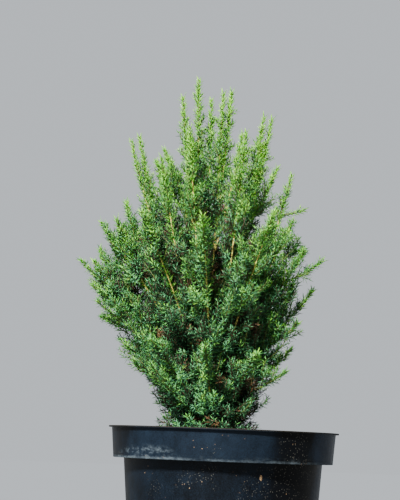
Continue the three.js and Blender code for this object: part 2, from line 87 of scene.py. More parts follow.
def start_ring(name, sides, radius):
    """A ring of vertices at the origin, in edit mode and selected, that a turned piece grows from."""
    bpy.ops.object.select_all(action="DESELECT")
    bpy.ops.mesh.primitive_circle_add(vertices=sides, radius=radius)
    piece = bpy.context.object
    piece.name = name
    bpy.ops.object.mode_set(mode="EDIT")
    return piece


def extrude_rings(rings):
    """Extrudes the selected ring from the first (radius, height) through each of the others in turn."""
    for (radius, height), (wider, higher) in zip(rings, rings[1:]):
        bpy.ops.mesh.extrude_region_move(TRANSFORM_OT_translate={"value": (0, 0, higher - height)})
        grown = wider / radius
        bpy.ops.transform.resize(value=(grown, grown, 1), center_override=(0, 0, higher))


def close_ends():
    """Fills the ring that is selected, then the one that is still open, and leaves edit mode."""
    bpy.ops.mesh.edge_face_add()
    bpy.ops.mesh.select_all(action="DESELECT")
    bpy.ops.mesh.select_non_manifold()
    bpy.ops.mesh.edge_face_add()
    bpy.ops.mesh.select_all(action="SELECT")
    bpy.ops.mesh.normals_make_consistent(inside=False)
    bpy.ops.object.mode_set(mode="OBJECT")


def stretch(start, end, count):
    """count (radius, height) pairs on the straight line from start to end, without start."""
    return [
        tuple(a + (b - a) * (i + 1) / count for a, b in zip(start, end)) for i in range(count)
    ]


def finish_modifier(piece, kind, **settings):
    """Adds a modifier to a piece and applies it."""
    modifier = piece.modifiers.new(kind.lower(), kind)
    for name, value in settings.items():
        setattr(modifier, name, value)
    bpy.context.view_layer.objects.active = piece
    bpy.ops.object.modifier_apply(modifier=modifier.name)


body_foot = (FOOT_RADIUS, FOOT_CHAMFER)
band_foot = (BAND_FOOT_RADIUS, BAND_FOOT)
inner_top = (BAND_TOP_RADIUS - WALL, POT_HEIGHT)
inner_step = (BODY_TOP_RADIUS - WALL, BAND_FOOT + WALL)
pot_rings = [
    (FOOT_RADIUS - FOOT_CHAMFER, 0),
    body_foot,
    *stretch(body_foot, (BODY_TOP_RADIUS, BAND_FOOT), BODY_RINGS),
    band_foot,
    *stretch(band_foot, (BAND_TOP_RADIUS, POT_HEIGHT - LIP_THICKNESS), BAND_RINGS),
    (LIP_RADIUS, POT_HEIGHT - LIP_THICKNESS),
    (LIP_RADIUS, POT_HEIGHT),
    inner_top,
    *stretch(inner_top, (BAND_FOOT_RADIUS - WALL, BAND_FOOT + WALL), BAND_RINGS),
    inner_step,
    *stretch(inner_step, (FOOT_RADIUS - WALL, FOOT_CHAMFER), INNER_RINGS),
    (FOOT_RADIUS - FOOT_CHAMFER - WALL, WALL),
]
pot = start_ring("nursery_pot", POT_SIDES, pot_rings[0][0])
extrude_rings(pot_rings)
close_ends()

for i in range(DRAIN_HOLES):
    turn = 2 * math.pi * i / DRAIN_HOLES
    bpy.ops.object.select_all(action="DESELECT")
    bpy.ops.mesh.primitive_cylinder_add(
        vertices=DRAIN_SIDES,
        radius=DRAIN_RADIUS,
        depth=6 * WALL,
        location=(DRAIN_CIRCLE * math.cos(turn), DRAIN_CIRCLE * math.sin(turn), 0),
    )
    drill = bpy.context.object
    finish_modifier(pot, "BOOLEAN", object=drill, operation="DIFFERENCE", solver="EXACT")
    bpy.data.objects.remove(drill)

finish_modifier(
    pot, "BEVEL", width=EDGE_ROUNDING, segments=3, limit_method="ANGLE", angle_limit=SHARP_EDGE
)
for axis, spread in SAG_WIDTHS.items():
    sag = bpy.data.textures.new("sag_" + axis, "CLOUDS")
    sag.noise_scale = spread
    sag.noise_depth = 0
    finish_modifier(pot, "DISPLACE", texture=sag, direction=axis, strength=SAG, texture_coords="LOCAL")
bpy.ops.object.select_all(action="DESELECT")
pot.select_set(True)
bpy.ops.object.shade_smooth_by_angle(angle=SHARP_EDGE)


class Shade:
    """A shader socket in a material, so that a pattern can be written as a sum of other sockets."""

    def __init__(self, tree, socket):
        self.tree = tree
        self.socket = socket

    def node(self, kind, settings=(), sockets=(), output=0):
        """A new node of a kind, with its settings set first and then its sockets, as a Shade."""
        made = self.tree.nodes.new("ShaderNode" + kind)
        for name, value in dict(settings).items():
            setattr(made, name, value)
        for name, value in dict(sockets).items():
            if isinstance(value, Shade):
                self.tree.links.new(value.socket, made.inputs[name])
            else:
                made.inputs[name].default_value = value
        return Shade(self.tree, made.outputs[output])

    def math(self, operation, first, second):
        """A Math node on two numbers or Shades."""
        return self.node("Math", {"operation": operation}, {0: first, 1: second})

    def __add__(self, other):
        return self.math("ADD", self, other)

    def __radd__(self, other):
        return self.math("ADD", other, self)

    def __sub__(self, other):
        return self.math("SUBTRACT", self, other)

    def __rsub__(self, other):
        return self.math("SUBTRACT", other, self)

    def __mul__(self, other):
        return self.math("MULTIPLY", self, other)

    def __rmul__(self, other):
        return self.math("MULTIPLY", other, self)

    def part(self, name):
        """One coordinate of a vector."""
        return self.node("SeparateXYZ", sockets={0: self}, output="XYZ".index(name))

    def scaled(self, x, y, z):
        """A place stretched along its axes."""
        return self.node("VectorMath", {"operation": "MULTIPLY"}, {0: self, 1: (x, y, z)})

    def noise(self, size, detail=3.0, roughness=0.55):
        """A cloudy value from 0 to 1 whose lumps are about size metres wide."""
        sockets = {"Vector": self, "Scale": 1 / size, "Detail": detail, "Roughness": roughness}
        return self.node("TexNoise", sockets=sockets)

    def cells(self, size):
        """The distance from the middle of the nearest of many cells about size metres wide."""
        return self.node("TexVoronoi", {"feature": "F1"}, {"Vector": self, "Scale": 1 / size})

    def ramp(self, low, high):
        """0 where this is below low, 1 above high, and smooth between them."""
        sockets = {"Value": self, "From Min": low, "From Max": high}
        return self.node("MapRange", {"interpolation_type": "SMOOTHSTEP"}, sockets)

    def mix(self, first, second):
        """A colour that goes from first to second as this goes from 0 to 1."""
        colours = {6: colour(first), 7: colour(second)}
        return self.node("Mix", {"data_type": "RGBA"}, {0: self, **colours}, output=2)

    def bump(self, height, strength=1.0):
        """A normal for a relief of this value, height metres deep."""
        return self.node("Bump", sockets={"Height": self, "Distance": height, "Strength": strength})


def colour(value):
    """A colour as a socket holds it, or a Shade as it is."""
    return value if isinstance(value, Shade) else (*value, 1.0)


def new_material(name, **sockets):
    """A Principled material with values or Shades on the sockets that are named, and its place."""
    material = bpy.data.materials.new(name)
    material.use_nodes = True
    tree = material.node_tree
    place = Shade(tree, tree.nodes.new("ShaderNodeTexCoord").outputs["Object"])
    dress(material, **sockets)
    return material, place


def dress(material, **sockets):
    """Sets sockets of a material's Principled node, named with _ for each space."""
    surface = material.node_tree.nodes["Principled BSDF"]
    for name, value in sockets.items():
        target = surface.inputs[name.replace("_", " ")]
        if isinstance(value, Shade):
            material.node_tree.links.new(value.socket, target)
        elif isinstance(value, tuple):
            target.default_value = colour(value)
        else:
            target.default_value = value


BLACK_PLASTIC = (0.0012, 0.0018, 0.0030)
# The pale blue of the painted sheen, a painted reflection on the black plastic.
PAINTED_SKY_SHEEN = (0.0072, 0.0140, 0.0268)
CHALK = (0.055, 0.072, 0.090)
DUST = (0.016, 0.0145, 0.0125)
GRIT = (0.26, 0.165, 0.090)
SPLASHES = (0.080, 0.078, 0.070)
GRIT_GAP = 3.6 * MM
SPLASH_GAP = 1.9 * MM
CHIP_ON_WALL = (31.5 * MM, 121 * MM)
CHIP_HALF = (1.1 * MM, 2.6 * MM)

# A pale blue sheen, a painted reflection, lies over the black in patches, and it is thinned to painted
# shade at the left end and across the right side.
plastic, place = new_material("pot_plastic", Specular_IOR_Level=0.08)
height = place.part("Z")
across = place.part("X")
scuffs = place.scaled(1, 1, 0.5).noise(9 * MM, 5, 0.65)
patches = place.noise(48 * MM, 3)
grain = place.noise(0.9 * MM, 3, 0.6)
streaky = across + patches * (24 * MM) - 12 * MM
# Painted shade thins the sheen across the right side and at the left end; past the right side it
# thickens.
shaded_right_side = streaky.ramp(34 * MM, 54 * MM) - 2 * streaky.ramp(66 * MM, 84 * MM)
shaded_left_end = 1 - streaky.ramp(-92 * MM, -66 * MM)
above_foot = height.ramp(BAND_FOOT - 0.4 * MM, BAND_FOOT + 0.3 * MM)
sheen_mask = 0.01 + patches * 0.36 + scuffs * 0.26 + grain * 0.45 - (1 - above_foot) * 0.09
sheen_mask = sheen_mask - shaded_right_side * 0.3 - shaded_left_end * 0.2
base = sheen_mask.ramp(0.3, 0.75).mix(BLACK_PLASTIC, PAINTED_SKY_SHEEN)

# Water left chalk above the foot of the band: a thin broken line, and taller smudges on the left.
left = across.ramp(-94 * MM, -74 * MM) - across.ramp(-52 * MM, -30 * MM)
marks = place.scaled(1, 1, 1.6).noise(6 * MM, 6, 0.7)
above_smudges = (height - left * 7 * MM).ramp(BAND_FOOT + 1 * MM, BAND_FOOT + 6 * MM)
smudges = (1 - above_smudges) * marks.ramp(0.45, 0.72)
water_line = (1 - height.ramp(BAND_FOOT + 0.8 * MM, BAND_FOOT + 2.6 * MM)) * marks.ramp(0.3, 0.6)
lumpy = (patches + scuffs * 0.5).ramp(0.62, 0.86)
chalk = above_foot * (smudges * (0.3 + left * 0.7) + water_line * (0.3 + lumpy * 0.5))

# Dust lies on top of the lip and round the pot's foot.
dusty = height.ramp(POT_HEIGHT - 1.2 * MM, POT_HEIGHT - 0.4 * MM)
dusty = dusty + (1 - height.ramp(0, 26 * MM)) * scuffs.ramp(0.45, 0.7) * 0.5

# Grit has stuck in places, splashes have dried on the right, and one chip clings to the front.
gritty = (place.noise(23 * MM, 2) + shaded_right_side * 0.05).ramp(0.57, 0.66)
grit = (1 - place.cells(GRIT_GAP).ramp(0.09, 0.15)) * gritty
right_body = (1 - above_foot) * across.ramp(10 * MM, 34 * MM)
splashed = (place.noise(30 * MM, 3) + shaded_right_side * 0.1 + right_body * 0.13).ramp(0.57, 0.7)
splash = (1 - place.cells(SPLASH_GAP).ramp(0.14, 0.24)) * splashed
beside_chip = (across - CHIP_ON_WALL[0]) * (1 / CHIP_HALF[0])
over_chip = (height - CHIP_ON_WALL[1]) * (1 / CHIP_HALF[1])
stuck = 1 - (beside_chip * beside_chip + over_chip * over_chip + scuffs * 0.5).ramp(0.9, 1.3)
grit = grit + stuck * (1 - place.part("Y").ramp(0, 1 * MM))

painted = dusty.mix(base, DUST)
painted = chalk.mix(painted, CHALK)
painted = (splash * 0.75).mix(painted, SPLASHES)
painted = (grit * 0.9).mix(painted, GRIT)
relief = (grain * 0.35 + scuffs * 0.65 + grit * 1.5 + chalk * 0.5).bump(0.25 * MM, 0.6)
dull = 0.34 + scuffs * 0.22 + chalk * 0.4 + grit * 0.4 + dusty * 0.3
dress(plastic, Base_Color=painted, Roughness=dull, Normal=relief)
pot.data.materials.append(plastic)
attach(pot, "root")
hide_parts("pot")

# The growing medium: moist composted bark and fibre that fills the pot to a little under its lip. It was
# poured in and watered down, so its top is lumpy, and a little lower at the wall than round the trunk.
SOIL_LEVEL = POT_HEIGHT - 22 * MM
SOIL_EDGE = SOIL_LEVEL - 3 * MM
SOIL_GAP = WALL + 0.4 * MM
SOIL_SIDES = 120
SOIL_RINGS = 44
SOIL_LUMPS = ((16 * MM, 2.6 * MM), (4.5 * MM, 1.6 * MM), (1.8 * MM, 0.8 * MM))
FLAT_RADIUS = 13 * MM
FREE_WIDTH = 9 * MM
SOIL_CREASE = 0.9
band_share = (SOIL_EDGE - BAND_FOOT - WALL) / (POT_HEIGHT - BAND_FOOT - WALL)
edge_radius = BAND_FOOT_RADIUS + (BAND_TOP_RADIUS - BAND_FOOT_RADIUS) * band_share - SOIL_GAP
soil_rings = [
    (FOOT_RADIUS - FOOT_CHAMFER - SOIL_GAP, SOIL_GAP),
    (FOOT_RADIUS - SOIL_GAP, FOOT_CHAMFER + SOIL_GAP - WALL),
    (BODY_TOP_RADIUS - SOIL_GAP, BAND_FOOT + SOIL_GAP),
    (BAND_FOOT_RADIUS - SOIL_GAP, BAND_FOOT + SOIL_GAP),
    (edge_radius, SOIL_EDGE),
    *stretch((edge_radius, SOIL_EDGE), (FLAT_RADIUS, SOIL_LEVEL), SOIL_RINGS),
]
soil = start_ring("growing_medium_surface", SOIL_SIDES, soil_rings[0][0])
bpy.ops.transform.translate(value=(0, 0, soil_rings[0][1]))
extrude_rings(soil_rings)
close_ends()

top = soil.vertex_groups.new(name="top")
for vertex in soil.data.vertices:
    radius = math.hypot(vertex.co.x, vertex.co.y)
    if vertex.co.z > SOIL_EDGE - 0.1 * MM and radius < edge_radius - 0.5 * MM:
        free = min(1, (edge_radius - radius) / FREE_WIDTH, (radius - FLAT_RADIUS) / FREE_WIDTH)
        top.add([vertex.index], free, "REPLACE")
for size, depth in SOIL_LUMPS:
    lumps = bpy.data.textures.new("lumps", "CLOUDS")
    lumps.noise_scale = size
    finish_modifier(
        soil,
        "DISPLACE",
        texture=lumps,
        direction="Z",
        strength=depth,
        vertex_group="top",
        texture_coords="LOCAL",
        mid_level=0.6,
    )

WET_PEAT = (0.020, 0.012, 0.008)
DRY_PEAT = (0.115, 0.066, 0.038)
peat, place = new_material("growing_medium", Specular_IOR_Level=0.3)
crumbs = place.noise(2.2 * MM, 6, 0.7)
dry = (crumbs * 0.8 + place.noise(20 * MM, 3) * 0.4).ramp(0.5, 0.8)
dress(peat, Base_Color=dry.mix(WET_PEAT, DRY_PEAT), Roughness=0.78 + crumbs * 0.2)
dress(peat, Normal=crumbs.bump(0.8 * MM))
soil.data.materials.append(peat)
bpy.ops.object.select_all(action="DESELECT")
soil.select_set(True)
bpy.ops.object.shade_smooth_by_angle(angle=SOIL_CREASE)
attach(soil, "root")
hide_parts("growing_medium")

# The litter on the medium: chips of composted bark from its top layer, which lie on it loose and nearly
# flat. Each is a flake split along the grain, in one of four browns, and most of them are small.
CHIPS = 2600
CHIP_FIELD = 0.985
CHIP_LENGTHS = (1.6 * MM, 6.5 * MM)
MOSTLY_SMALL = 2.2
CHIP_WIDTHS = (0.28, 0.68)
CHIP_THICKNESSES = (0.10, 0.24)
CHIP_TILT = 0.28
CHIP_SCATTER = 0.06
CHIP_SHARES = (0.4, 0.32, 0.18, 0.10)
CHIP_COLOURS = {
    "chip_dark": ((0.018, 0.010, 0.007), (0.045, 0.026, 0.017)),
    "chip_brown": ((0.050, 0.026, 0.014), (0.125, 0.068, 0.036)),
    "chip_red": ((0.095, 0.038, 0.017), (0.210, 0.098, 0.046)),
    "chip_grey": ((0.120, 0.090, 0.062), (0.290, 0.228, 0.165)),
}


def piece_of(name, corners, faces, materials, which):
    """A piece made from arrays: corners in metres, rows of corner numbers, and each face's material."""
    mesh = bpy.data.meshes.new(name)
    sides = faces.shape[1]
    mesh.vertices.add(len(corners))
    mesh.vertices.foreach_set("co", corners.astype(np.float32).ravel())
    mesh.loops.add(faces.size)
    mesh.loops.foreach_set("vertex_index", faces.astype(np.int32).ravel())
    mesh.polygons.add(len(faces))
    mesh.polygons.foreach_set("loop_start", np.arange(0, faces.size, sides, dtype=np.int32))
    for material in materials:
        mesh.materials.append(material)
    mesh.polygons.foreach_set("material_index", which.astype(np.int32))
    mesh.update(calc_edges=True)
    piece = bpy.data.objects.new(name, mesh)
    bpy.context.scene.collection.objects.link(piece)
    return piece


def repeated(corner_places, face_rows):
    """Corner places of many copies, one row of corners each, and their faces, as flat arrays."""
    copies, corners = corner_places.shape[:2]
    steps = np.arange(copies)[:, None, None] * corners
    faces = np.asarray(face_rows)[None] + steps
    return corner_places.reshape(-1, 3), faces.reshape(-1, len(face_rows[0]))


def between(pair, share):
    """The value at a share of the way from the first of a pair to the second."""
    return pair[0] + (pair[1] - pair[0]) * share


def soil_height(x, y):
    """The height of the medium's lumpy top at a place."""
    hit, where, _, _ = soil.ray_cast((x, y, POT_HEIGHT), (0, 0, -1))
    return where.z if hit else SOIL_LEVEL


dice = np.random.default_rng(11)
radius = edge_radius * CHIP_FIELD * np.sqrt(dice.random(CHIPS))
bearing = dice.random(CHIPS) * 2 * math.pi
chip_x = radius * np.cos(bearing)
chip_y = radius * np.sin(bearing)
chip_z = np.array([soil_height(x, y) for x, y in zip(chip_x, chip_y)])
length = between(CHIP_LENGTHS, dice.random(CHIPS) ** MOSTLY_SMALL)
width = length * between(CHIP_WIDTHS, dice.random(CHIPS))
thick = length * between(CHIP_THICKNESSES, dice.random(CHIPS))
heading = dice.random(CHIPS) * 2 * math.pi
tilt = dice.normal(0, CHIP_TILT, CHIPS)
chip = np.array(
    [(-0.5, -0.2, 0), (-0.36, 0.4, 0), (0.3, 0.5, 0), (0.5, 0.05, 0), (0.2, -0.45, 0),
     (-0.4, -0.15, 1), (-0.25, 0.3, 1), (0.25, 0.36, 1), (0.4, 0.0, 1), (0.15, -0.35, 1)]
)
shape = chip[None] * np.stack([length, width, thick], 1)[:, None]
shape += dice.normal(0, CHIP_SCATTER, shape.shape) * length[:, None, None] * (1, 1, 0.3)
ahead = np.stack([np.cos(heading) * np.cos(tilt), np.sin(heading) * np.cos(tilt), np.sin(tilt)], 1)
beside = np.stack([-np.sin(heading), np.cos(heading), 0 * heading], 1)
upright = np.cross(ahead, beside)
spot = np.stack([chip_x, chip_y, chip_z + 0.05 * thick], 1)
chips = spot[:, None] + sum(
    shape[:, :, i, None] * axis[:, None] for i, axis in enumerate((ahead, beside, upright))
)
CHIP_FACES = [(0, 1, 2), (0, 2, 3), (0, 3, 4), (5, 7, 6), (5, 8, 7), (5, 9, 8)]
for i in range(5):
    after = (i + 1) % 5
    CHIP_FACES += [(i, 5 + i, after), (after, 5 + i, 5 + after)]
corners, faces = repeated(chips, CHIP_FACES)
browns = []
for name, (wet, dry) in CHIP_COLOURS.items():
    brown, place = new_material(name)
    fibres = place.noise(0.9 * MM, 4, 0.65)
    dress(brown, Base_Color=fibres.ramp(0.36, 0.64).mix(wet, dry), Roughness=0.7 + fibres * 0.3)
    browns.append(brown)
shares = dice.choice(len(browns), CHIPS, p=CHIP_SHARES)
litter = piece_of("bark_chips", corners, faces, browns, np.repeat(shares, len(CHIP_FACES)))
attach(litter, "root")

# The trunk and its boughs: living wood under thin red-brown bark that peels in long strips. The trunk
# leans a little to the left from a ridged root flare, and each bough leaves it low down and rises.
SEAT = 0.3
TRUNK_FOOT = (-8, 4)
TRUNK_BEND = (-17, 6.5)
TRUNK_TIP = (-30, 1)
TRUNK_HEIGHT = 205
TRUNK_RADII = (5.6, 1.7)
TRUNK_TAPER = 0.8
TRUNK_RINGS = 150
TRUNK_SIDES = 40
ROOT_FLARE = 3.6
ROOT_FLARE_HEIGHT = 9
ROOT_RIDGES = 5
ROOT_RIDGE_DEPTH = 0.35
BOUGH_RADII = (2.6, 1.6)
BARE_SHARE = 0.18
BOUGH_START = 0.02
BOUGH_RINGS = 28
BOUGH_SIDES = 14
LEADER_BEND = (0.4, 0.5)
LEADER_SEAT = 0.46
SIDE_BEND = (0.6, 0.45)
PEEL_DEPTH = 0.55
PEEL_RADIUS = 4
LEVEL_SHARE = 0.03

# A limb's habit: how far out and how far up it bends, how far below its tip the twigs are nearly full
# length, how long its spire of short sprigs is, its bare share, and how many twigs each place has.
CENTRE = {"bend": (0.6, 0.42), "slim": 98, "spire": 75, "bare": 0, "twigs": 6}
UPRIGHT = {"bend": (0.6, 0.42), "slim": 92, "spire": 75, "bare": BARE_SHARE, "twigs": 9}
LEANING = {"bend": (0.22, 0.58), "slim": 84, "spire": 60, "bare": BARE_SHARE, "twigs": 9}
SPREADING = {"bend": (0.42, 0.54), "slim": 62, "spire": 30, "bare": BARE_SHARE, "twigs": 13}
SKIRT = {"bend": (0.42, 0.54), "slim": 55, "spire": 20, "bare": 0, "twigs": 14}

# Each plume, in millimetres: its name, habit and tip, the height at which its limb leaves the trunk, how
# far its twigs stand out, and its side leaders' tips, each with the share of the stem it leaves at.
PLUMES = [
    ("leader", CENTRE, (-34, 2, 333), None, 20, [(-41, -8, 285, 0.4)]),
    ("left_centre", CENTRE, (-47, -14, 314), 104, 24, []),
    ("right_centre", CENTRE, (-11, -24, 316), 96, 26, [(-4, -20, 319, 0.45), (7, -26, 280, 0.4)]),
    ("back_centre", CENTRE, (-22, 9, 318), 108, 24, []),
    ("right_high", UPRIGHT, (26, 2, 303), 70, 28, [(33, 6, 301, 0.4), (39, -6, 254, 0.5)]),
    ("back_right_high", UPRIGHT, (23, 34, 271), 64, 28, []),
    ("left_shoulder", LEANING, (-62, -8, 267), 78, 28, [(-68, -18, 254, 0.6)]),
    ("left_high", UPRIGHT, (-86, 12, 282), 60, 28, [(-92, 2, 275, 0.4)]),
    ("right_shoulder", UPRIGHT, (52, -8, 248), 52, 36, [(63, -12, 216, 0.8)]),
    ("front_high", UPRIGHT, (-39, -42, 281), 60, 28, []),
    ("front_right_high", UPRIGHT, (10, -48, 277), 52, 28, []),
    ("back_high", UPRIGHT, (-30, 54, 288), 58, 28, []),
    ("back_left_high", UPRIGHT, (-68, 48, 258), 56, 28, []),
    ("front_left_high", UPRIGHT, (-62, -42, 252), 48, 28, []),
    ("left_upper", SPREADING, (-115, -10, 199), 38, 33,
     [(-100, -26, 200, 0.5), (-95, 6, 222, 0.45)]),
    ("left_middle", SPREADING, (-133, 6, 167), 26, 34,
     [(-119, -12, 164, 0.55), (-118, 22, 181, 0.5), (-106, 2, 188, 0.45)]),
    ("left_lower", SPREADING, (-121, -8, 145), 17, 34,
     [(-112, 14, 118, 0.6), (-114, -20, 129, 0.6)]),
    ("right_upper", SPREADING, (54, -13, 206), 36, 36, [(64, 6, 184, 0.75)]),
    ("right_middle", SPREADING, (65, -10, 180), 28, 34, [(82, -6, 173, 0.76)]),
    ("right_lower", SPREADING, (75, 8, 148), 17, 38,
     [(61, -10, 116, 0.5), (56, -12, 152, 0.4)]),
    ("front_left_middle", SPREADING, (-76, -76, 200), 34, 34, []),
    ("front_middle", SPREADING, (-24, -88, 196), 30, 34, []),
    ("front_right_middle", SPREADING, (36, -70, 204), 38, 34, []),
    ("back_left_middle", SPREADING, (-90, 70, 204), 33, 34, []),
    ("back_middle", SPREADING, (-28, 92, 196), 29, 34, []),
    ("back_right_middle", SPREADING, (38, 72, 208), 37, 34, []),
    ("left_skirt", SKIRT, (-94, -2, 97), 12, 32, [(-80, -20, 77, 0.5)]),
    ("front_left_skirt", SKIRT, (-64, -62, 94), 14, 34, []),
    ("front_skirt", SKIRT, (-18, -74, 88), 12, 34, []),
    ("front_right_skirt", SKIRT, (26, -52, 86), 16, 32, []),
    ("right_skirt", SKIRT, (57, 4, 94), 13, 30, [(52, -14, 74, 0.5)]),
    ("back_right_skirt", SKIRT, (24, 56, 88), 12, 34, []),
    ("back_skirt", SKIRT, (-24, 76, 92), 16, 34, []),
    ("back_left_skirt", SKIRT, (-67, 58, 94), 17, 34, []),
]


def point(x, y, h):
    """A place in millimetres, its height given above the growing medium."""
    return np.array([x, y, SOIL_LEVEL / MM + h], float)


def along(curve, t):
    """The point at a share of a curve, which is three rows: its foot, its bend and its tip."""
    t = np.asarray(t, float)[..., None]
    foot, bend, tip = curve[..., 0, :], curve[..., 1, :], curve[..., 2, :]
    return (1 - t) ** 2 * foot + 2 * t * (1 - t) * bend + t**2 * tip


def unit(vector):
    """A vector's direction, as a vector of length 1."""
    return vector / np.linalg.norm(vector, axis=-1, keepdims=True)


def frames(curve, t):
    """A curve's direction at a share of it, and two directions across it that don't turn as it bends."""
    t = np.asarray(t, float)[..., None]
    bend = curve[..., 1, :]
    ahead = unit((1 - t) * (bend - curve[..., 0, :]) + t * (curve[..., 2, :] - bend))
    chord = unit(curve[..., 2, :] - curve[..., 0, :])
    fixed = np.where(np.abs(chord[..., 1:2]) < 0.8, (0.0, 1.0, 0.0), (1.0, 0.0, 0.0))
    side = unit(np.cross(ahead, fixed))
    return ahead, side, np.cross(ahead, side)


def arc(foot, tip, shares):
    """A limb's line from its foot to its tip. shares say how far out and how far up its bend is."""
    bend = foot + (tip - foot) * (shares[0], shares[0], shares[1])
    return np.array([foot, bend, tip])


def length_of(curve):
    """A curve's length, measured along 32 short chords."""
    places = along(curve, np.linspace(0, 1, 33))
    return np.linalg.norm(np.diff(places, axis=0), axis=1).sum()


trunk_line = np.array(
    [point(*TRUNK_FOOT, SEAT), point(*TRUNK_BEND, TRUNK_HEIGHT / 2), point(*TRUNK_TIP, TRUNK_HEIGHT)]
)


def limb_of(habit, tip, fork):
    """A plume's whole line, from the trunk's axis or tip, and the share at which the plume starts."""
    if fork is None:
        foot = along(trunk_line, 1) + frames(trunk_line, 1)[0] * LEADER_SEAT
        return arc(foot, point(*tip), LEADER_BEND), 0
    line = arc(along(trunk_line, fork / TRUNK_HEIGHT), point(*tip), habit["bend"])
    start = habit["bare"] + SEAT / length_of(line) if habit["bare"] else 0
    return line, start


def barky(curve, start, end, rings, sides, radius_at, level_foot=False):
    """A closed limb whose bark peels in strips: corner places in metres, and its faces."""
    shares = np.linspace(start, end, rings)
    turns = np.arange(sides) * 2 * math.pi / sides
    ahead, side, other = frames(curve, shares)
    if level_foot:
        ease = np.clip((shares - start) / LEVEL_SHARE, 0, 1)[:, None]
        side = unit(ease * side + (1 - ease) * np.array([-1.0, 0, 0]))
        other = unit(ease * other + (1 - ease) * np.array([0, -1.0, 0]))
    out = np.cos(turns)[None, :, None] * side[:, None] + np.sin(turns)[None, :, None] * other[:, None]
    radius = radius_at(shares[:, None], turns[None])
    middle = along(curve, shares)
    places = middle[:, None] + out * radius[..., None]
    peel = np.array(
        [[strip_relief(p, o) for p, o in zip(row, rays)] for row, rays in zip(places, out)]
    )
    peel[[0, -1]] = 0
    places += out * (peel * np.minimum(1, radius / PEEL_RADIUS) * PEEL_DEPTH)[..., None]
    ring = np.arange(sides)
    steps = np.arange(rings - 1)[:, None] * sides
    quads = np.stack([steps + ring, steps + (ring + 1) % sides], 2)
    quads = np.concatenate([quads, quads[..., ::-1] + sides], 2).reshape(-1, 4)
    first, top_ring = rings * sides, (rings - 1) * sides
    caps = [(first, (k + 1) % sides, k) for k in range(sides)]
    caps += [(first + 1, top_ring + k, top_ring + (k + 1) % sides) for k in range(sides)]
    corners = np.concatenate([places.reshape(-1, 3), middle[[0, -1]]]) * MM
    halves = np.concatenate([quads[:, [0, 1, 2]], quads[:, [0, 2, 3]]])
    return corners, np.concatenate([halves, np.array(caps)])


def strip_relief(place, out):
    """How far a strip of bark stands up at a place: long ridges with ragged edges."""
    stretched = (place[0] * 0.9 + out[0] * 3, place[1] * 0.9 + out[1] * 3, place[2] * 0.09)
    ridge = 1 - abs(noise.noise(stretched)) * 3
    ragged = noise.noise((place[0] * 1.6, place[1] * 1.6, place[2] * 0.45))
    return max(-0.6, ridge) + 0.5 * ragged


def trunk_radius(t, turn):
    """The trunk's radius at a share of its line and an angle round it, with the ridges of its flare."""
    flare = ROOT_FLARE * np.exp(-t * TRUNK_HEIGHT / ROOT_FLARE_HEIGHT)
    ridge = 1 + ROOT_RIDGE_DEPTH * np.cos(ROOT_RIDGES * turn)
    return between(TRUNK_RADII, t**TRUNK_TAPER) + flare * ridge


def bough_radius(t, turn):
    """A bough's radius at a share of its limb's line, the same at every angle round it."""
    return between(BOUGH_RADII, t / BARE_SHARE)


def joined(parts):
    """Many (corners, faces) as one."""
    starts = np.cumsum([0] + [len(corners) for corners, _ in parts])
    faces = [rows + start for (_, rows), start in zip(parts, starts)]
    return np.concatenate([corners for corners, _ in parts]), np.concatenate(faces)


OLD_BARK = (0.060, 0.030, 0.018)
NEW_BARK = (0.300, 0.130, 0.060)
bark, place = new_material("bark", Specular_IOR_Level=0.3)
strips = place.scaled(1, 1, 0.14).noise(1.3 * MM, 5, 0.65)
flaking = (strips * 0.75 + place.noise(6 * MM, 3) * 0.45).ramp(0.45, 0.78)
dress(bark, Base_Color=flaking.mix(OLD_BARK, NEW_BARK), Roughness=0.7 + strips * 0.25)
dress(bark, Normal=strips.bump(0.4 * MM))

corners, faces = barky(trunk_line, 0, 1, TRUNK_RINGS, TRUNK_SIDES, trunk_radius, level_foot=True)
trunk = piece_of("trunk_bark", corners, faces, [bark], np.zeros(len(faces)))
boughs = []
for _, habit, tip, fork, *_ in PLUMES:
    if habit["bare"]:
        line, _ = limb_of(habit, tip, fork)
        boughs.append(barky(line, BOUGH_START, BARE_SHARE, BOUGH_RINGS, BOUGH_SIDES, bough_radius))
corners, faces = joined(boughs)
limbs = piece_of("boughs_bark", corners, faces, [bark], np.zeros(len(faces)))
for piece in (trunk, limbs):
    piece.data.shade_smooth()
    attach(piece, "root")
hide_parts("trunk")
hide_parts(*(name + "_bough" for name, habit, *_ in PLUMES if habit["bare"]))

# The shoots of the crown: each plume is a stem that goes on from its bough, with side leaders, side
# twigs that ascend all round them, and short sprigs on those. They are round, springy and tan to green,
# and grow by one rule of chance that keeps them inside the crown and out of each other's way.
GOLDEN_TURN = math.radians(137.5)
STEM_RADII = (1.05, 0.4)
STEM_POINTS = 31
LEADER_POINTS = 12
SIDE_SCALE = 0.5
SPIRE_REACH = 2.4
SWELL = (0.06, 0.2)

# Twigs along a stem. Here and below, sizes are in millimetres, turns in radians and spreads in degrees,
# and a pair goes from foot to tip, or from the least to the most that chance can give.
TWIG_RADII = (0.55, 0.32)
TWIG_GAP = 20
TWIG_ZONE = (0.08, 0.9)
LAST_TWIG = 0.97
TWIG_SPREAD = (56, 26)
TWIG_SPREAD_LUCK = (0.85, 1.15)
TWIG_REACH_LUCK = (0.95, 1.3)
TWIG_TURN_LUCK = 1.2
TWIG_BEND = 1.15
TWIG_LIFT = 0.35
TWIG_SIZES = (1, 0.75, 0.5)
FINE_SIZES = (0.45, 0.95)
FINE_TURN = 0.63
LONG_TWIG = 12
BARE_TWIG_SHARE = 0.15

# Sprigs along a twig.
SPRIG_RADII = (0.42, 0.28)
SPRIG_GAP = 4.6
SPRIGGED_SHARE = 0.82
SPRIG_ZONE = (0.16, 0.93)
SPRIG_SPREAD = (62, 38)
SPRIG_SPREAD_LUCK = (0.8, 1.2)
SPRIG_TURN_LUCK = 6
SPRIG_LENGTHS = (5.5, 13)
LEAST_SPRIG = 4
SPRIG_TAPER = 0.5
SPRIG_LIFT = 0.5

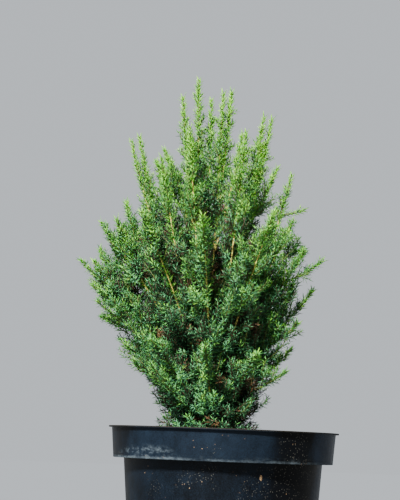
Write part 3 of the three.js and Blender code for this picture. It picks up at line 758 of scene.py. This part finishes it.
# Sprigs on a spire, which are longer and stand out more the further they are below its tip.
SPIRE_GAP = 4.4
SPIRE_ZONE = (6, 120)
SPIRE_SHARE = 0.9
SPIRE_LENGTHS = (4, 11)
SPIRE_LENGTH_LUCK = (0.75, 1.25)
SPIRE_TURN_LUCK = 3
SPIRE_GROWTH = 0.16
SPIRE_SPREAD = 27
SPIRE_OPENING = 0.3

# Old twigs deep inside, on the foot of each stem, and low ones straight from the trunk, more of them
# the lower down.
INNER_FOOT = 8
INNER_GAP = 6.5
INNER_SHARE = 0.35
INNER_LENGTHS = (14, 30)
INNER_SPREAD = 64
INNER_TURN_LUCK = 3
INNER_BARE = 0.1
INNER_SPRIGS = (0.3, 0.55, 0.8)
INNER_SPRIG_SPREAD = 58
INNER_SPRIG = 9
INNER_SPRIG_GAIN = 0.05
LOW_TWIGS = 110
LOW_SEED = 3000
NO_PLUME = 99
LOW_CROWDING = 1.5
LOW_HEIGHTS = (7, 120)
LOW_LENGTHS = (36, 58)
LOW_SPREAD = 72

# Ages go from 1 for a young shoot to 0 for a dead one, and choose the tones of bark and needles. They
# carry painted light too: higher up and further out they are more, and less for twigs that point inwards,
# so the top and outside are painted lighter and the inside and foot darker, as painted shade.
STEM_AGE_HEIGHTS = (60, 300)
STEM_AGES = (0.5, 0.92)
AGE_HEIGHTS = (0, 100, 200, 320)
AGE_AND_LIGHT_BY_HEIGHT = (-0.12, -0.01, 0.12, 0.54)
AGE_AND_LIGHT_OUTWARDS = 0.42
AGE_ALONG = 0.10
AGE_LUCK = 0.42
LEAST_AGE = 0.09
INWARD_SHADE = 0.2
SPRIG_GAIN = 0.12
SPIRE_LOSS = 0.3
# Inner and low twigs start dark, dead or in the darkest greens, partly as painted shade.
INNER_AGES = (-0.12, 0.33)
LOW_AGES = (0.1, 0.4)
# The darkest greens, as painted shade, for twigs and sprigs in a place of dead foliage.
SHADED_TWIG_AGE = 0.1
SHADED_SPRIG_AGE = 0.14

# The crown's dense body as rings: height, middle and radius seen from the front. It is a little deeper
# than wide. Twigs end near its face, each in its own plume's space or a little past its border.
CROWN = np.array(
    [(0, -16, 43), (60, -18, 52), (110, -22, 76), (160, -28, 92), (220, -27, 76), (270, -18, 50),
     (340, -26, 24)],
    float,
)
CROWN_DEPTH = 1.12
DEPTH_LIMIT = 97
MEDIUM_CLEAR = 4
FACE_SHARES = (0.8, 1.22)
SPRIG_FACE = 3
INNER_FACE = 0.95
LOW_FACE = 1.02
BORDER = 0.2
FINE_BORDER = 1.1

# Most twigs that would hide the middle of a stem are left out, so that the tan stems show.
WINDOW = (0.38, 0.76)
WINDOW_FACING = 0.45
WINDOW_CHANCE = 0.77

# Places as seen from the front, each x, height and radius: small ones where foliage has died back and
# turned brown, with the rest of it there in the darkest green as painted shade, and dark hollows in the
# front of the crown.
DEAD_SHARE = 0.45
DEAD_PLACES = [
    (-34, 148, 5), (-25, 110, 7), (-8, 78, 4), (-2, 64, 5), (18, 64, 9), (8, 44, 7), (24, 36, 8),
    (-24, 30, 5), (-8, 216, 3),
]
HOLLOWS = [
    (-13, 171, 8), (-11, 156, 8), (-44, 148, 7), (10, 116, 7), (25, 103, 8), (-35, 94, 8), (-1, 72, 7),
    (15, 52, 7),
]
HOLLOW_FRONT = -12


def chance(plume, twig, use):
    """A number from 0 to 1, always the same for a plume, a twig and the number of a use for it."""
    total = ((plume + 1) * 374761393 + (twig + 1) * 668265263 + (use + 1) * 974711) & 0xFFFFFFFF
    mixed = ((total ^ (total >> 13)) * 1274126177) & 0xFFFFFFFF
    return (mixed ^ (mixed >> 16)) / 2**32


def height_of(place):
    """A place's height above the growing medium."""
    return place[2] - SOIL_LEVEL / MM


def crown_share(place):
    """How far out a place lies: 0 in the crown's middle, 1 at the face of its dense body."""
    middle, radius = (np.interp(height_of(place), CROWN[:, 0], CROWN[:, i]) for i in (1, 2))
    return math.hypot(place[0] - middle, place[1] / CROWN_DEPTH) / radius


trunk_places = along(trunk_line, np.linspace(0, 1, 12))


def from_trunk(place):
    """How far a place is from the trunk's line."""
    return np.linalg.norm(trunk_places - place, axis=1).min()


stems = []
stem_places = []
for _, habit, tip, fork, _, sides in PLUMES:
    line, start = limb_of(habit, tip, fork)
    leaders = [
        arc(along(line, between((start, 1), share)), point(x, y, h), SIDE_BEND)
        for x, y, h, share in sides
    ]
    stems.append((line, start, leaders))
    places = [along(line, np.linspace(start, 1, STEM_POINTS))]
    for leader in leaders:
        places.append(along(leader, np.linspace(1 / LEADER_POINTS, 1, LEADER_POINTS)))
    stem_places.append(np.concatenate(places))
stem_starts = np.cumsum([0] + [len(places) for places in stem_places[:-1]])
all_stem_places = np.concatenate(stem_places)
reaches = np.array([plume[4] for plume in PLUMES], float)


def nearness_to(place):
    """How far each plume's stems are from a place, measured by the plume's reach."""
    far = np.sqrt(((all_stem_places - place) ** 2).sum(1))
    return np.minimum.reduceat(far, stem_starts) / reaches


def in_own_space(place, index, border):
    """Whether a plume is the nearest to a place, or nearly."""
    nearness = nearness_to(place)
    return nearness[index] <= nearness.min() + border


def reach_at(index, share):
    """How far a plume's twigs stand out at a share of its stem, from its foot to its tip."""
    line, start, _ = stems[index]
    habit, reach = PLUMES[index][1], PLUMES[index][4]
    swell = min(1, (share + SWELL[0]) / SWELL[1]) ** 0.5
    left = (1 - share) * length_of(line) * (1 - start)
    return between((SPIRE_REACH, reach), swell * (1 - math.exp(-((left / habit["slim"]) ** 2))))


def side_shoot(curve, t, turn, spread, length, lift=0.0):
    """A shoot on another: it leaves at a wide angle, and bends up towards that one's direction."""
    ahead, side, other = frames(curve, t)
    out = math.cos(turn) * side + math.sin(turn) * other
    foot = along(curve, t)
    wider = spread * TWIG_BEND
    bend = foot + (math.cos(wider) * ahead + math.sin(wider) * out) * length / 2
    way = math.cos(spread) * ahead + math.sin(spread) * out + np.array([0, 0, lift])
    return np.array([foot, bend, foot + unit(way) * length])


# Each shoot is (curve, share of it that is bare, radii, plume, level, age), where level 0 is a stem or
# side leader, 1 a twig and 2 a sprig or an old inner twig.
shoots = []


def age_and_light_of(curve, share, index, seed):
    """A twig's age and painted light: more high up, far out and near its stem's tip, and by chance."""
    tip = curve[2]
    higher = np.interp(height_of(tip), AGE_HEIGHTS, AGE_AND_LIGHT_BY_HEIGHT)
    luck = AGE_LUCK * (chance(index, seed, 5) - 0.5)
    return max(LEAST_AGE, higher + AGE_AND_LIGHT_OUTWARDS * crown_share(tip) + AGE_ALONG * share + luck)


def fits(twig, face):
    """Whether a twig is clear of the medium, in a share of the dense body and not too deep."""
    above = min(height_of(twig[0]), height_of(twig[2])) > MEDIUM_CLEAR
    return above and crown_share(twig[2]) < face and abs(twig[2, 1]) < DEPTH_LIMIT


def before_stem(twig, share, index, seed):
    """Whether a twig is one of those that would hide the middle of its stem from outside the crown."""
    if not WINDOW[0] < share < WINDOW[1]:
        return False
    middle = np.interp(height_of(twig[0]), CROWN[:, 0], CROWN[:, 1])
    outside = unit(np.array([twig[0, 0] - middle, twig[0, 1]]))
    way = unit(twig[2, :2] - twig[0, :2])
    return way @ outside > WINDOW_FACING and chance(index, seed, 16) < WINDOW_CHANCE


def in_any(circles, tip):
    """Whether a tip lies in one of the circles that are given as seen from the front."""
    return any(math.hypot(tip[0] - x, height_of(tip) - h) < radius for x, h, radius in circles)


def in_hollow(tip):
    """Whether a tip would close one of the dark hollows in the front of the crown."""
    return tip[1] < HOLLOW_FRONT and in_any(HOLLOWS, tip)


def add_sprig(parent, t, turn, spread, length, index, age_and_light):
    """Adds a sprig at a share of a shoot, unless it would grow into the medium or a hollow."""
    sprig = side_shoot(parent, t, turn, math.radians(spread), length, SPRIG_LIFT)
    if not fits(sprig, SPRIG_FACE) or in_hollow(sprig[2]):
        return
    # In a place of dead foliage, some sprigs die and the rest take the darkest green, as painted shade.
    if in_any(DEAD_PLACES, sprig[2]):
        age_and_light = 0 if chance(index, len(shoots), 18) < DEAD_SHARE else SHADED_SPRIG_AGE
    shoots.append((sprig, 0, SPRIG_RADII, index, 2, age_and_light))


def add_twig(twig, index, seed, age_and_light):
    """Adds a twig, with sprigs in a spiral along it, unless it would grow into a hollow."""
    if in_hollow(twig[2]):
        return
    # In a place of dead foliage, a twig takes the darkest green and brown bark, as painted shade.
    if in_any(DEAD_PLACES, twig[2]):
        age_and_light = SHADED_TWIG_AGE
    length = length_of(twig)
    shoots.append((twig, BARE_TWIG_SHARE if length > LONG_TWIG else 0, TWIG_RADII, index, 1, age_and_light))
    count = int(length * SPRIGGED_SHARE / SPRIG_GAP)
    for k in range(count):
        share = between(SPRIG_ZONE, (k + 0.5) / count)
        own_seed = seed * 20 + k
        longest = LEAST_SPRIG + SPRIG_TAPER * length * (1 - share)
        sprig = min(between(SPRIG_LENGTHS, chance(index, own_seed, 7)), longest)
        spread = between(SPRIG_SPREAD, share)
        spread *= between(SPRIG_SPREAD_LUCK, chance(index, own_seed, 6))
        turn = k * GOLDEN_TURN + SPRIG_TURN_LUCK * chance(index, seed, 8)
        add_sprig(twig, share, turn, spread, sprig, index, age_and_light + SPRIG_GAIN * (share - 0.5))


def add_fitting_twig(curve, t, share, turn, spread, reach, finer, index, seed):
    """Adds a twig on a stem, in the largest of its sizes that stays in its plume's space, if any."""
    face = between(FACE_SHARES, chance(index, seed, 15)) if finer else 1
    lift, border = (TWIG_LIFT, FINE_BORDER) if finer else (0, BORDER)
    for size in TWIG_SIZES:
        twig = side_shoot(curve, t, turn, spread, size * reach / math.sin(spread), lift)
        inward = from_trunk(twig[2]) < from_trunk(twig[0])
        if not fits(twig, face) or (inward and not finer) or before_stem(twig, share, index, seed):
            continue
        if in_own_space(twig[2], index, border):
            # A twig that points inwards is made darker, as painted shade.
            add_twig(twig, index, seed, age_and_light_of(twig, share, index, seed) - INWARD_SHADE * inward)
            return


def add_stem(curve, bare, scale, which, index):
    """Adds a stem or a side leader, with twigs all round it and short sprigs on its spire."""
    habit = PLUMES[index][1]
    whole = length_of(curve)
    stem_age = np.interp(height_of(curve[2]), STEM_AGE_HEIGHTS, STEM_AGES)
    shoots.append((curve, bare, STEM_RADII, index, 0, stem_age))
    count = round(whole * (1 - bare) / TWIG_GAP)
    # The first twig at each place is a full one, the others are finer, and a skirt's are longer low down.
    for number in range(count * habit["twigs"]):
        i, finer = divmod(number, habit["twigs"])
        seed = which * 100 + i + 1000 * finer
        share = min(LAST_TWIG, between(TWIG_ZONE, (i + 0.5 + finer / habit["twigs"]) / count))
        turn = (i + FINE_TURN * finer) * GOLDEN_TURN + TWIG_TURN_LUCK * chance(index, seed, 2)
        spread = math.radians(between(TWIG_SPREAD, share))
        spread *= between(TWIG_SPREAD_LUCK, chance(index, seed, 3))
        reach = scale * reach_at(index, share) * between(TWIG_REACH_LUCK, chance(index, seed, 4))
        if finer:
            reach *= between(FINE_SIZES, chance(index, seed, 9))
        if finer and habit is SKIRT:
            reach *= 1 + (1 - share) / 3
        t = between((bare, 1), share)
        add_fitting_twig(curve, t, share, turn, spread, reach, finer, index, seed)
    near, far = SPIRE_ZONE
    for k in range(int((min(far, whole * (1 - bare) * SPIRE_SHARE) - near) / SPIRE_GAP)):
        below = near + k * SPIRE_GAP
        length = min(SPIRE_LENGTHS[1], SPIRE_LENGTHS[0] + SPIRE_GROWTH * below)
        length *= between(SPIRE_LENGTH_LUCK, chance(index, which * 900 + k, 10))
        turn = k * GOLDEN_TURN + SPIRE_TURN_LUCK * chance(index, which, 11)
        spread = SPIRE_SPREAD + SPIRE_OPENING * below
        if below < habit["spire"] or chance(index, k, 17) > 0.5:
            age_and_light = stem_age - SPIRE_LOSS * below / far
            add_sprig(curve, 1 - below / whole, turn, spread, length, index, age_and_light)


for index, (line, start, leaders) in enumerate(stems):
    add_stem(line, start, 1, 0, index)
    for which, leader in enumerate(leaders, 1):
        add_stem(leader, 0, SIDE_SCALE, which, index)
    for k in range(int(length_of(line) * (start + INNER_SHARE) / INNER_GAP)):
        t = (INNER_FOOT + k * INNER_GAP) / length_of(line)
        turn = k * GOLDEN_TURN + INNER_TURN_LUCK * chance(index, k, 13)
        length = between(INNER_LENGTHS, chance(index, k, 12))
        twig = side_shoot(line, t, turn, math.radians(INNER_SPREAD), length)
        if not fits(twig, INNER_FACE):
            continue
        age_and_light = between(INNER_AGES, chance(index, k, 14))
        shoots.append((twig, INNER_BARE, SPRIG_RADII, index, 2, age_and_light))
        for i, share in enumerate(INNER_SPRIGS):
            turn = i * GOLDEN_TURN + k
            own_age = age_and_light + INNER_SPRIG_GAIN
            add_sprig(twig, share, turn, INNER_SPRIG_SPREAD, INNER_SPRIG, index, own_age)

for k in range(LOW_TWIGS):
    rise = ((k + 0.5) / LOW_TWIGS) ** LOW_CROWDING
    t = between(LOW_HEIGHTS, rise) / TRUNK_HEIGHT
    length = between(LOW_LENGTHS, chance(NO_PLUME, k, 1))
    for size in TWIG_SIZES:
        twig = side_shoot(trunk_line, t, k * GOLDEN_TURN, math.radians(LOW_SPREAD), size * length)
        if fits(twig, LOW_FACE):
            index = nearness_to(twig[2]).argmin()
            age_and_light = between(LOW_AGES, chance(NO_PLUME, k, 2))
            add_twig(twig, index, LOW_SEED + k, age_and_light)
            break

curves, bares, radii, owners, levels, ages_and_light = (np.array(column) for column in zip(*shoots))
lengths = np.array([length_of(curve) for curve in curves])

TUBE_RINGS = (20, 5, 3)
TUBE_SIDES = (7, 4, 3)
GREEN_TIP = 48
BROWN_AGE = 0.32
STEM_COLOURS = {
    "stem_tan": ((0.29, 0.225, 0.050), (0.58, 0.52, 0.120)),
    "twig_green": ((0.050, 0.064, 0.012), (0.100, 0.136, 0.024)),
    "sprig_green": ((0.026, 0.066, 0.008), (0.054, 0.134, 0.016)),
    "twig_brown": ((0.026, 0.015, 0.008), (0.062, 0.036, 0.016)),
}
twig_materials = []
for name, (scarred, smooth) in STEM_COLOURS.items():
    skin, place = new_material(name)
    scars = place.noise(1.6 * MM, 4, 0.6)
    dress(skin, Base_Color=scars.ramp(0.38, 0.6).mix(scarred, smooth), Roughness=0.5 + scars * 0.2)
    twig_materials.append(skin)


def tubes(which, rings, sides):
    """Tapering tubes along chosen shoots, closed at the foot and pointed at the tip."""
    shares = np.linspace(0, 1, rings)
    t = bares[which][:, None] * (levels[which][:, None] == 0) * (1 - shares) + shares
    curve = curves[which][:, None]
    ahead, side, other = frames(curve, t)
    turns = np.arange(sides) * 2 * math.pi / sides
    out = np.cos(turns)[:, None] * side[:, :, None] + np.sin(turns)[:, None] * other[:, :, None]
    thick = radii[which][:, :1] * (1 - shares) + radii[which][:, 1:] * shares
    places = along(curve, t)[:, :, None] + out * thick[:, :, None, None]
    ends = along(curve[:, 0], 1) + ahead[:, -1] * radii[which][:, 1:]
    corner_places = np.concatenate([places.reshape(len(places), -1, 3), ends[:, None]], 1) * MM
    rows = []
    last = (rings - 1) * sides
    for a in range(last):
        b = a // sides * sides + (a + 1) % sides
        rows += [(a, b, b + sides), (a, b + sides, a + sides)]
    rows += [(last + k, last + (k + 1) % sides, last + sides) for k in range(sides)]
    rows += [(0, k + 1, k) for k in range(1, sides - 1)]
    corners, faces = repeated(corner_places, rows)
    below_tip = (1 - shares[[row[0] // sides for row in rows]]) * lengths[which][:, None]
    return corners, faces, below_tip


def group_of(plume_name):
    """The number of the side of the plant that a plume is on. The leader goes with the back."""
    return group_names.index("back" if plume_name == "leader" else plume_name.split("_")[0])


group_names = ["left", "right", "front", "back"]
groups = np.array([group_of(plume[0]) for plume in PLUMES])
plume_names = np.array([plume[0] + "_plume" for plume in PLUMES])

# Bark goes by level, stem, twig or sprig. That of an old shoot, or one darkened as painted shade, is
# brown, and a stem's tip is a twig's green.
for g, side in enumerate(group_names):
    chosen = groups[owners] == g
    parts, tints = [], []
    for level, (rings, sides) in enumerate(zip(TUBE_RINGS, TUBE_SIDES)):
        which = np.flatnonzero(chosen & (levels == level))
        corners, faces, below_tip = tubes(which, rings, sides)
        parts.append((corners, faces))
        tint = np.where(ages_and_light[which] < BROWN_AGE, len(TUBE_RINGS), level)[:, None]
        tints.append(np.where((level == 0) & (below_tip < GREEN_TIP), 1, tint).ravel())
    corners, faces = joined(parts)
    piece = piece_of(side + "_shoots", corners, faces, twig_materials, np.concatenate(tints))
    piece.data.shade_smooth()
    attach(piece, "root")
    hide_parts(*plume_names[groups == g])

# The needles: sharp, awl-shaped and stiff, in whorls of three that turn a sixth from one whorl to the
# next. Each is a keeled blade, dark outside and banded paler inside. Young shoots are yellow-green with
# short needles laid forward, and old or shaded ones are blue-green with needles that stand out.

# Three values are for stems, twigs and sprigs. What begins with TIP holds at a shoot's tip, and what
# begins with YOUNG on a young shoot. Scatters are shares, or radians for the turn.
WHORL_GAPS = (1.75, 2.4, 2.2)
NEEDLE_LENGTHS = (6.2, 5.7, 5.4)
TIP_NEEDLES = (1, 0.8, 0.8)
NEEDLE_SPREADS = (58, 72, 70)
TIP_SPREAD = 34
TIP_STRETCHES = (7, 4.5, 3.5)
SPIRE_HEIGHTS = (200, 290)
SPIRE_STRETCH = 30
YOUNG_AGES = (0.5, 0.95)
YOUNG_NEEDLE = 0.85
YOUNG_SPREAD = 0.8
NEEDLED_LENGTH = 85
NEEDLE_WIDTHS = (1.4, 0.92, 0.92)
NEEDLE_KEEL = 0.4
NEEDLE_BELLY = 0.2
NEEDLE_HOOK = 0.05
NEEDLE_SEAT = 0.6
TURN_SCATTER = 0.16
PLACE_SCATTER = 0.004
SPREAD_SCATTER = 0.13
LENGTH_SCATTER = 0.12
TONE_SCATTER = 0.12
TIP_YOUTH = 0.2
NEEDLE_COLOURS = {
    "dead": ((0.058, 0.029, 0.012), (0.125, 0.066, 0.029)),
    "shaded": ((0.002, 0.020, 0.004), (0.020, 0.084, 0.032)),
    "blue": ((0.004, 0.043, 0.008), (0.080, 0.280, 0.130)),
    "deep": ((0.006, 0.066, 0.005), (0.094, 0.330, 0.088)),
    "green": ((0.022, 0.136, 0.006), (0.158, 0.450, 0.074)),
    "fresh": ((0.070, 0.258, 0.008), (0.238, 0.565, 0.064)),
    "young": ((0.115, 0.330, 0.011), (0.315, 0.650, 0.074)),
}
NEEDLE_STOREYS = {"upper": (240, 340), "middle": (150, 240), "lower": (0, 150)}
TONE_AGES = (0.26, 0.44, 0.6, 0.78, 0.96)
DEAD_AGE = 0.08

needle_materials = []
for tone, (outside, band) in NEEDLE_COLOURS.items():
    for part, tint in (("outside", outside), ("band", band)):
        finish = {"Base_Color": tint, "Roughness": 0.42, "Specular_IOR_Level": 0.3}
        needle_materials.append(new_material("needle_" + tone + "_" + part, **finish)[0])


def by_level(values, which):
    """One value for each shoot, by its level."""
    return np.array(values, float)[levels[which]]


every = np.arange(len(shoots))
first_share = np.where(levels == 0, np.maximum(bares, 1 - NEEDLED_LENGTH / lengths), bares)
whorls = np.maximum(2, (lengths * (1 - first_share) / by_level(WHORL_GAPS, every)).astype(int))
shoot_of = np.repeat(every, whorls)
step = np.arange(len(shoot_of)) - (np.cumsum(whorls) - whorls)[shoot_of]
t = between((first_share[shoot_of], 1), (step + 0.7) / whorls[shoot_of])
dice = np.random.default_rng(5)
owner = np.repeat(shoot_of, 3)
count = len(owner)
turn = np.tile(np.arange(3) * 2 * math.pi / 3, len(shoot_of))
turn += np.repeat(step, 3) * math.pi / 3 + dice.normal(0, TURN_SCATTER, count)
t = np.clip(np.repeat(t, 3) + dice.normal(0, PLACE_SCATTER, count), 0, 1)
ahead, side, other = frames(curves[owner], t)
out = np.cos(turn)[:, None] * side + np.sin(turn)[:, None] * other
tips = curves[owner][:, 2]
spire = np.interp(tips[:, 2] - SOIL_LEVEL / MM, SPIRE_HEIGHTS, (0, 1)) * (levels[owner] == 0)
stretch = between((by_level(TIP_STRETCHES, owner), SPIRE_STRETCH), spire)
near_tip = np.exp(-(1 - t) * lengths[owner] / stretch)
youth = np.interp(ages_and_light[owner], YOUNG_AGES, (0, 1)) * (levels[owner] > 0)
spread = np.radians(by_level(NEEDLE_SPREADS, owner) * between((1, YOUNG_SPREAD), youth))
spread = between((spread, math.radians(TIP_SPREAD)), near_tip) * dice.normal(1, SPREAD_SCATTER, count)
size = by_level(NEEDLE_LENGTHS, owner) * between((1, YOUNG_NEEDLE), youth)
size *= between((1, by_level(TIP_NEEDLES, owner)), near_tip) * dice.normal(1, LENGTH_SCATTER, count)
ahead_way = np.cos(spread)[:, None] * ahead + np.sin(spread)[:, None] * out
inside_way = np.sin(spread)[:, None] * ahead - np.cos(spread)[:, None] * out
across_way = np.cross(inside_way, ahead_way)
base = along(curves[owner], t) + out * (NEEDLE_SEAT * between(radii[owner].T, t))[:, None]
belly = base + ahead_way * (NEEDLE_BELLY * size)[:, None]
half = by_level(NEEDLE_WIDTHS, owner)[:, None] / 2
needle_corners = np.stack(
    [
        base,
        belly - across_way * half,
        belly + across_way * half,
        belly - inside_way * NEEDLE_KEEL,
        base + ahead_way * size[:, None] + inside_way * (NEEDLE_HOOK * size)[:, None],
    ],
    1,
)
NEEDLE_FACES = [(0, 1, 2), (1, 4, 2), (0, 3, 1), (0, 2, 3), (1, 3, 4), (2, 4, 3)]
FACE_PARTS = [1, 1, 0, 0, 0, 0]
# A needle's tone comes from its shoot's age and painted light, and is younger near the tip.
needle_age_and_light = ages_and_light[owner] + TIP_YOUTH * (near_tip - 0.25) + dice.normal(0, TONE_SCATTER, count)
tone = np.digitize(needle_age_and_light, TONE_AGES) + 1
tone[ages_and_light[owner] < DEAD_AGE] = 0
tip_heights = np.array([plume[2][2] for plume in PLUMES])
for g, side_name in enumerate(group_names):
    for storey, (lowest, highest) in NEEDLE_STOREYS.items():
        mine = (groups == g) & (tip_heights > lowest) & (tip_heights <= highest)
        chosen = np.flatnonzero(mine[owners[owner]])
        corners, faces = repeated(needle_corners[chosen] * MM, NEEDLE_FACES)
        tints = np.repeat(tone[chosen] * 2, len(NEEDLE_FACES)) + np.tile(FACE_PARTS, len(chosen))
        name = side_name + "_" + storey + "_needles"
        piece = piece_of(name, corners, faces, needle_materials, tints)
        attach(piece, "root")
        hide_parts(*plume_names[mine])

# The surroundings: a plain pale floor that fades into an even pale background, and soft studio lights
# with the strongest of them high on the left in front.
FLOOR_RADIUS = 9
FLOOR_FADE = (0.7, 2.5)
FLOOR_COLOUR = (0.20, 0.20, 0.196)
BACKGROUND = (0.62, 0.66, 0.70)
BACKGROUND_TOP = (0.31, 0.52)
SKY = (0.029, 0.040, 0.062)
NONE = (0, 0, 0)
bpy.ops.object.select_all(action="DESELECT")
bpy.ops.mesh.primitive_circle_add(vertices=96, radius=FLOOR_RADIUS, fill_type="NGON")
floor = bpy.context.object
floor.name = "floor"
paint, place = new_material("floor_paint", Roughness=0.9, Emission_Strength=1.0, Specular_IOR_Level=0.1)
reach = place.node("VectorMath", {"operation": "LENGTH"}, {0: place}, output="Value")
fading = reach.ramp(*FLOOR_FADE)
dress(paint, Base_Color=fading.mix(FLOOR_COLOUR, NONE), Emission_Color=fading.mix(NONE, BACKGROUND))
floor.data.materials.append(paint)

world = bpy.data.worlds.new("studio")
bpy.context.scene.world = world
world.use_nodes = True
studio = world.node_tree
rise = Shade(studio, studio.nodes.new("ShaderNodeTexCoord").outputs["Generated"]).part("Z")
glow = rise.ramp(*BACKGROUND_TOP).mix(BACKGROUND, SKY)
studio.links.new(glow.socket, studio.nodes["Background"].inputs["Color"])


def area_light(name, place, size, power, tint):
    """A square soft light that shines at the middle of the plant."""
    light = bpy.data.lights.new(name, "AREA")
    light.size = size
    light.energy = power
    light.color = tint
    lamp = bpy.data.objects.new(name, light)
    bpy.context.scene.collection.objects.link(lamp)
    lamp.location = place
    middle = (cad_box[0] + cad_box[1]) / 2
    lamp.rotation_euler = (middle - lamp.location).to_track_quat("-Z", "Y").to_euler()


area_light("key_light", (-0.70, -1.69, 1.72), 0.3, 278, (1.0, 0.97, 0.86))
area_light("fill_light", (-1.3, -1.3, 1.5), 1.2, 13, (0.5, 0.72, 1.0))
area_light("back_light", (0.6, 1.9, 1.5), 0.8, 38, (1.0, 0.98, 0.92))

# The camera: it stands low in front of the pot, a little below its rim, and looks up at the plant.
# It leans by the angle that the pot leans in the photograph.
CAMERA_PLACE = (0, -1.3, 0.145)
CAMERA_PAN = math.radians(1.19)
CAMERA_PITCH = math.radians(7.55)
CAMERA_LEAN = math.radians(2.2)
CAMERA_LENS = 106.4
camera = bpy.data.cameras.new("camera")
camera.lens = CAMERA_LENS
camera.sensor_width = 36
viewer = bpy.data.objects.new("camera", camera)
bpy.context.scene.collection.objects.link(viewer)
viewer.location = CAMERA_PLACE
turned = Matrix.Rotation(CAMERA_PAN, 3, "Z") @ Matrix.Rotation(math.pi / 2 + CAMERA_PITCH, 3, "X")
viewer.rotation_euler = (turned @ Matrix.Rotation(CAMERA_LEAN, 3, "Z")).to_euler()
bpy.context.scene.camera = viewer
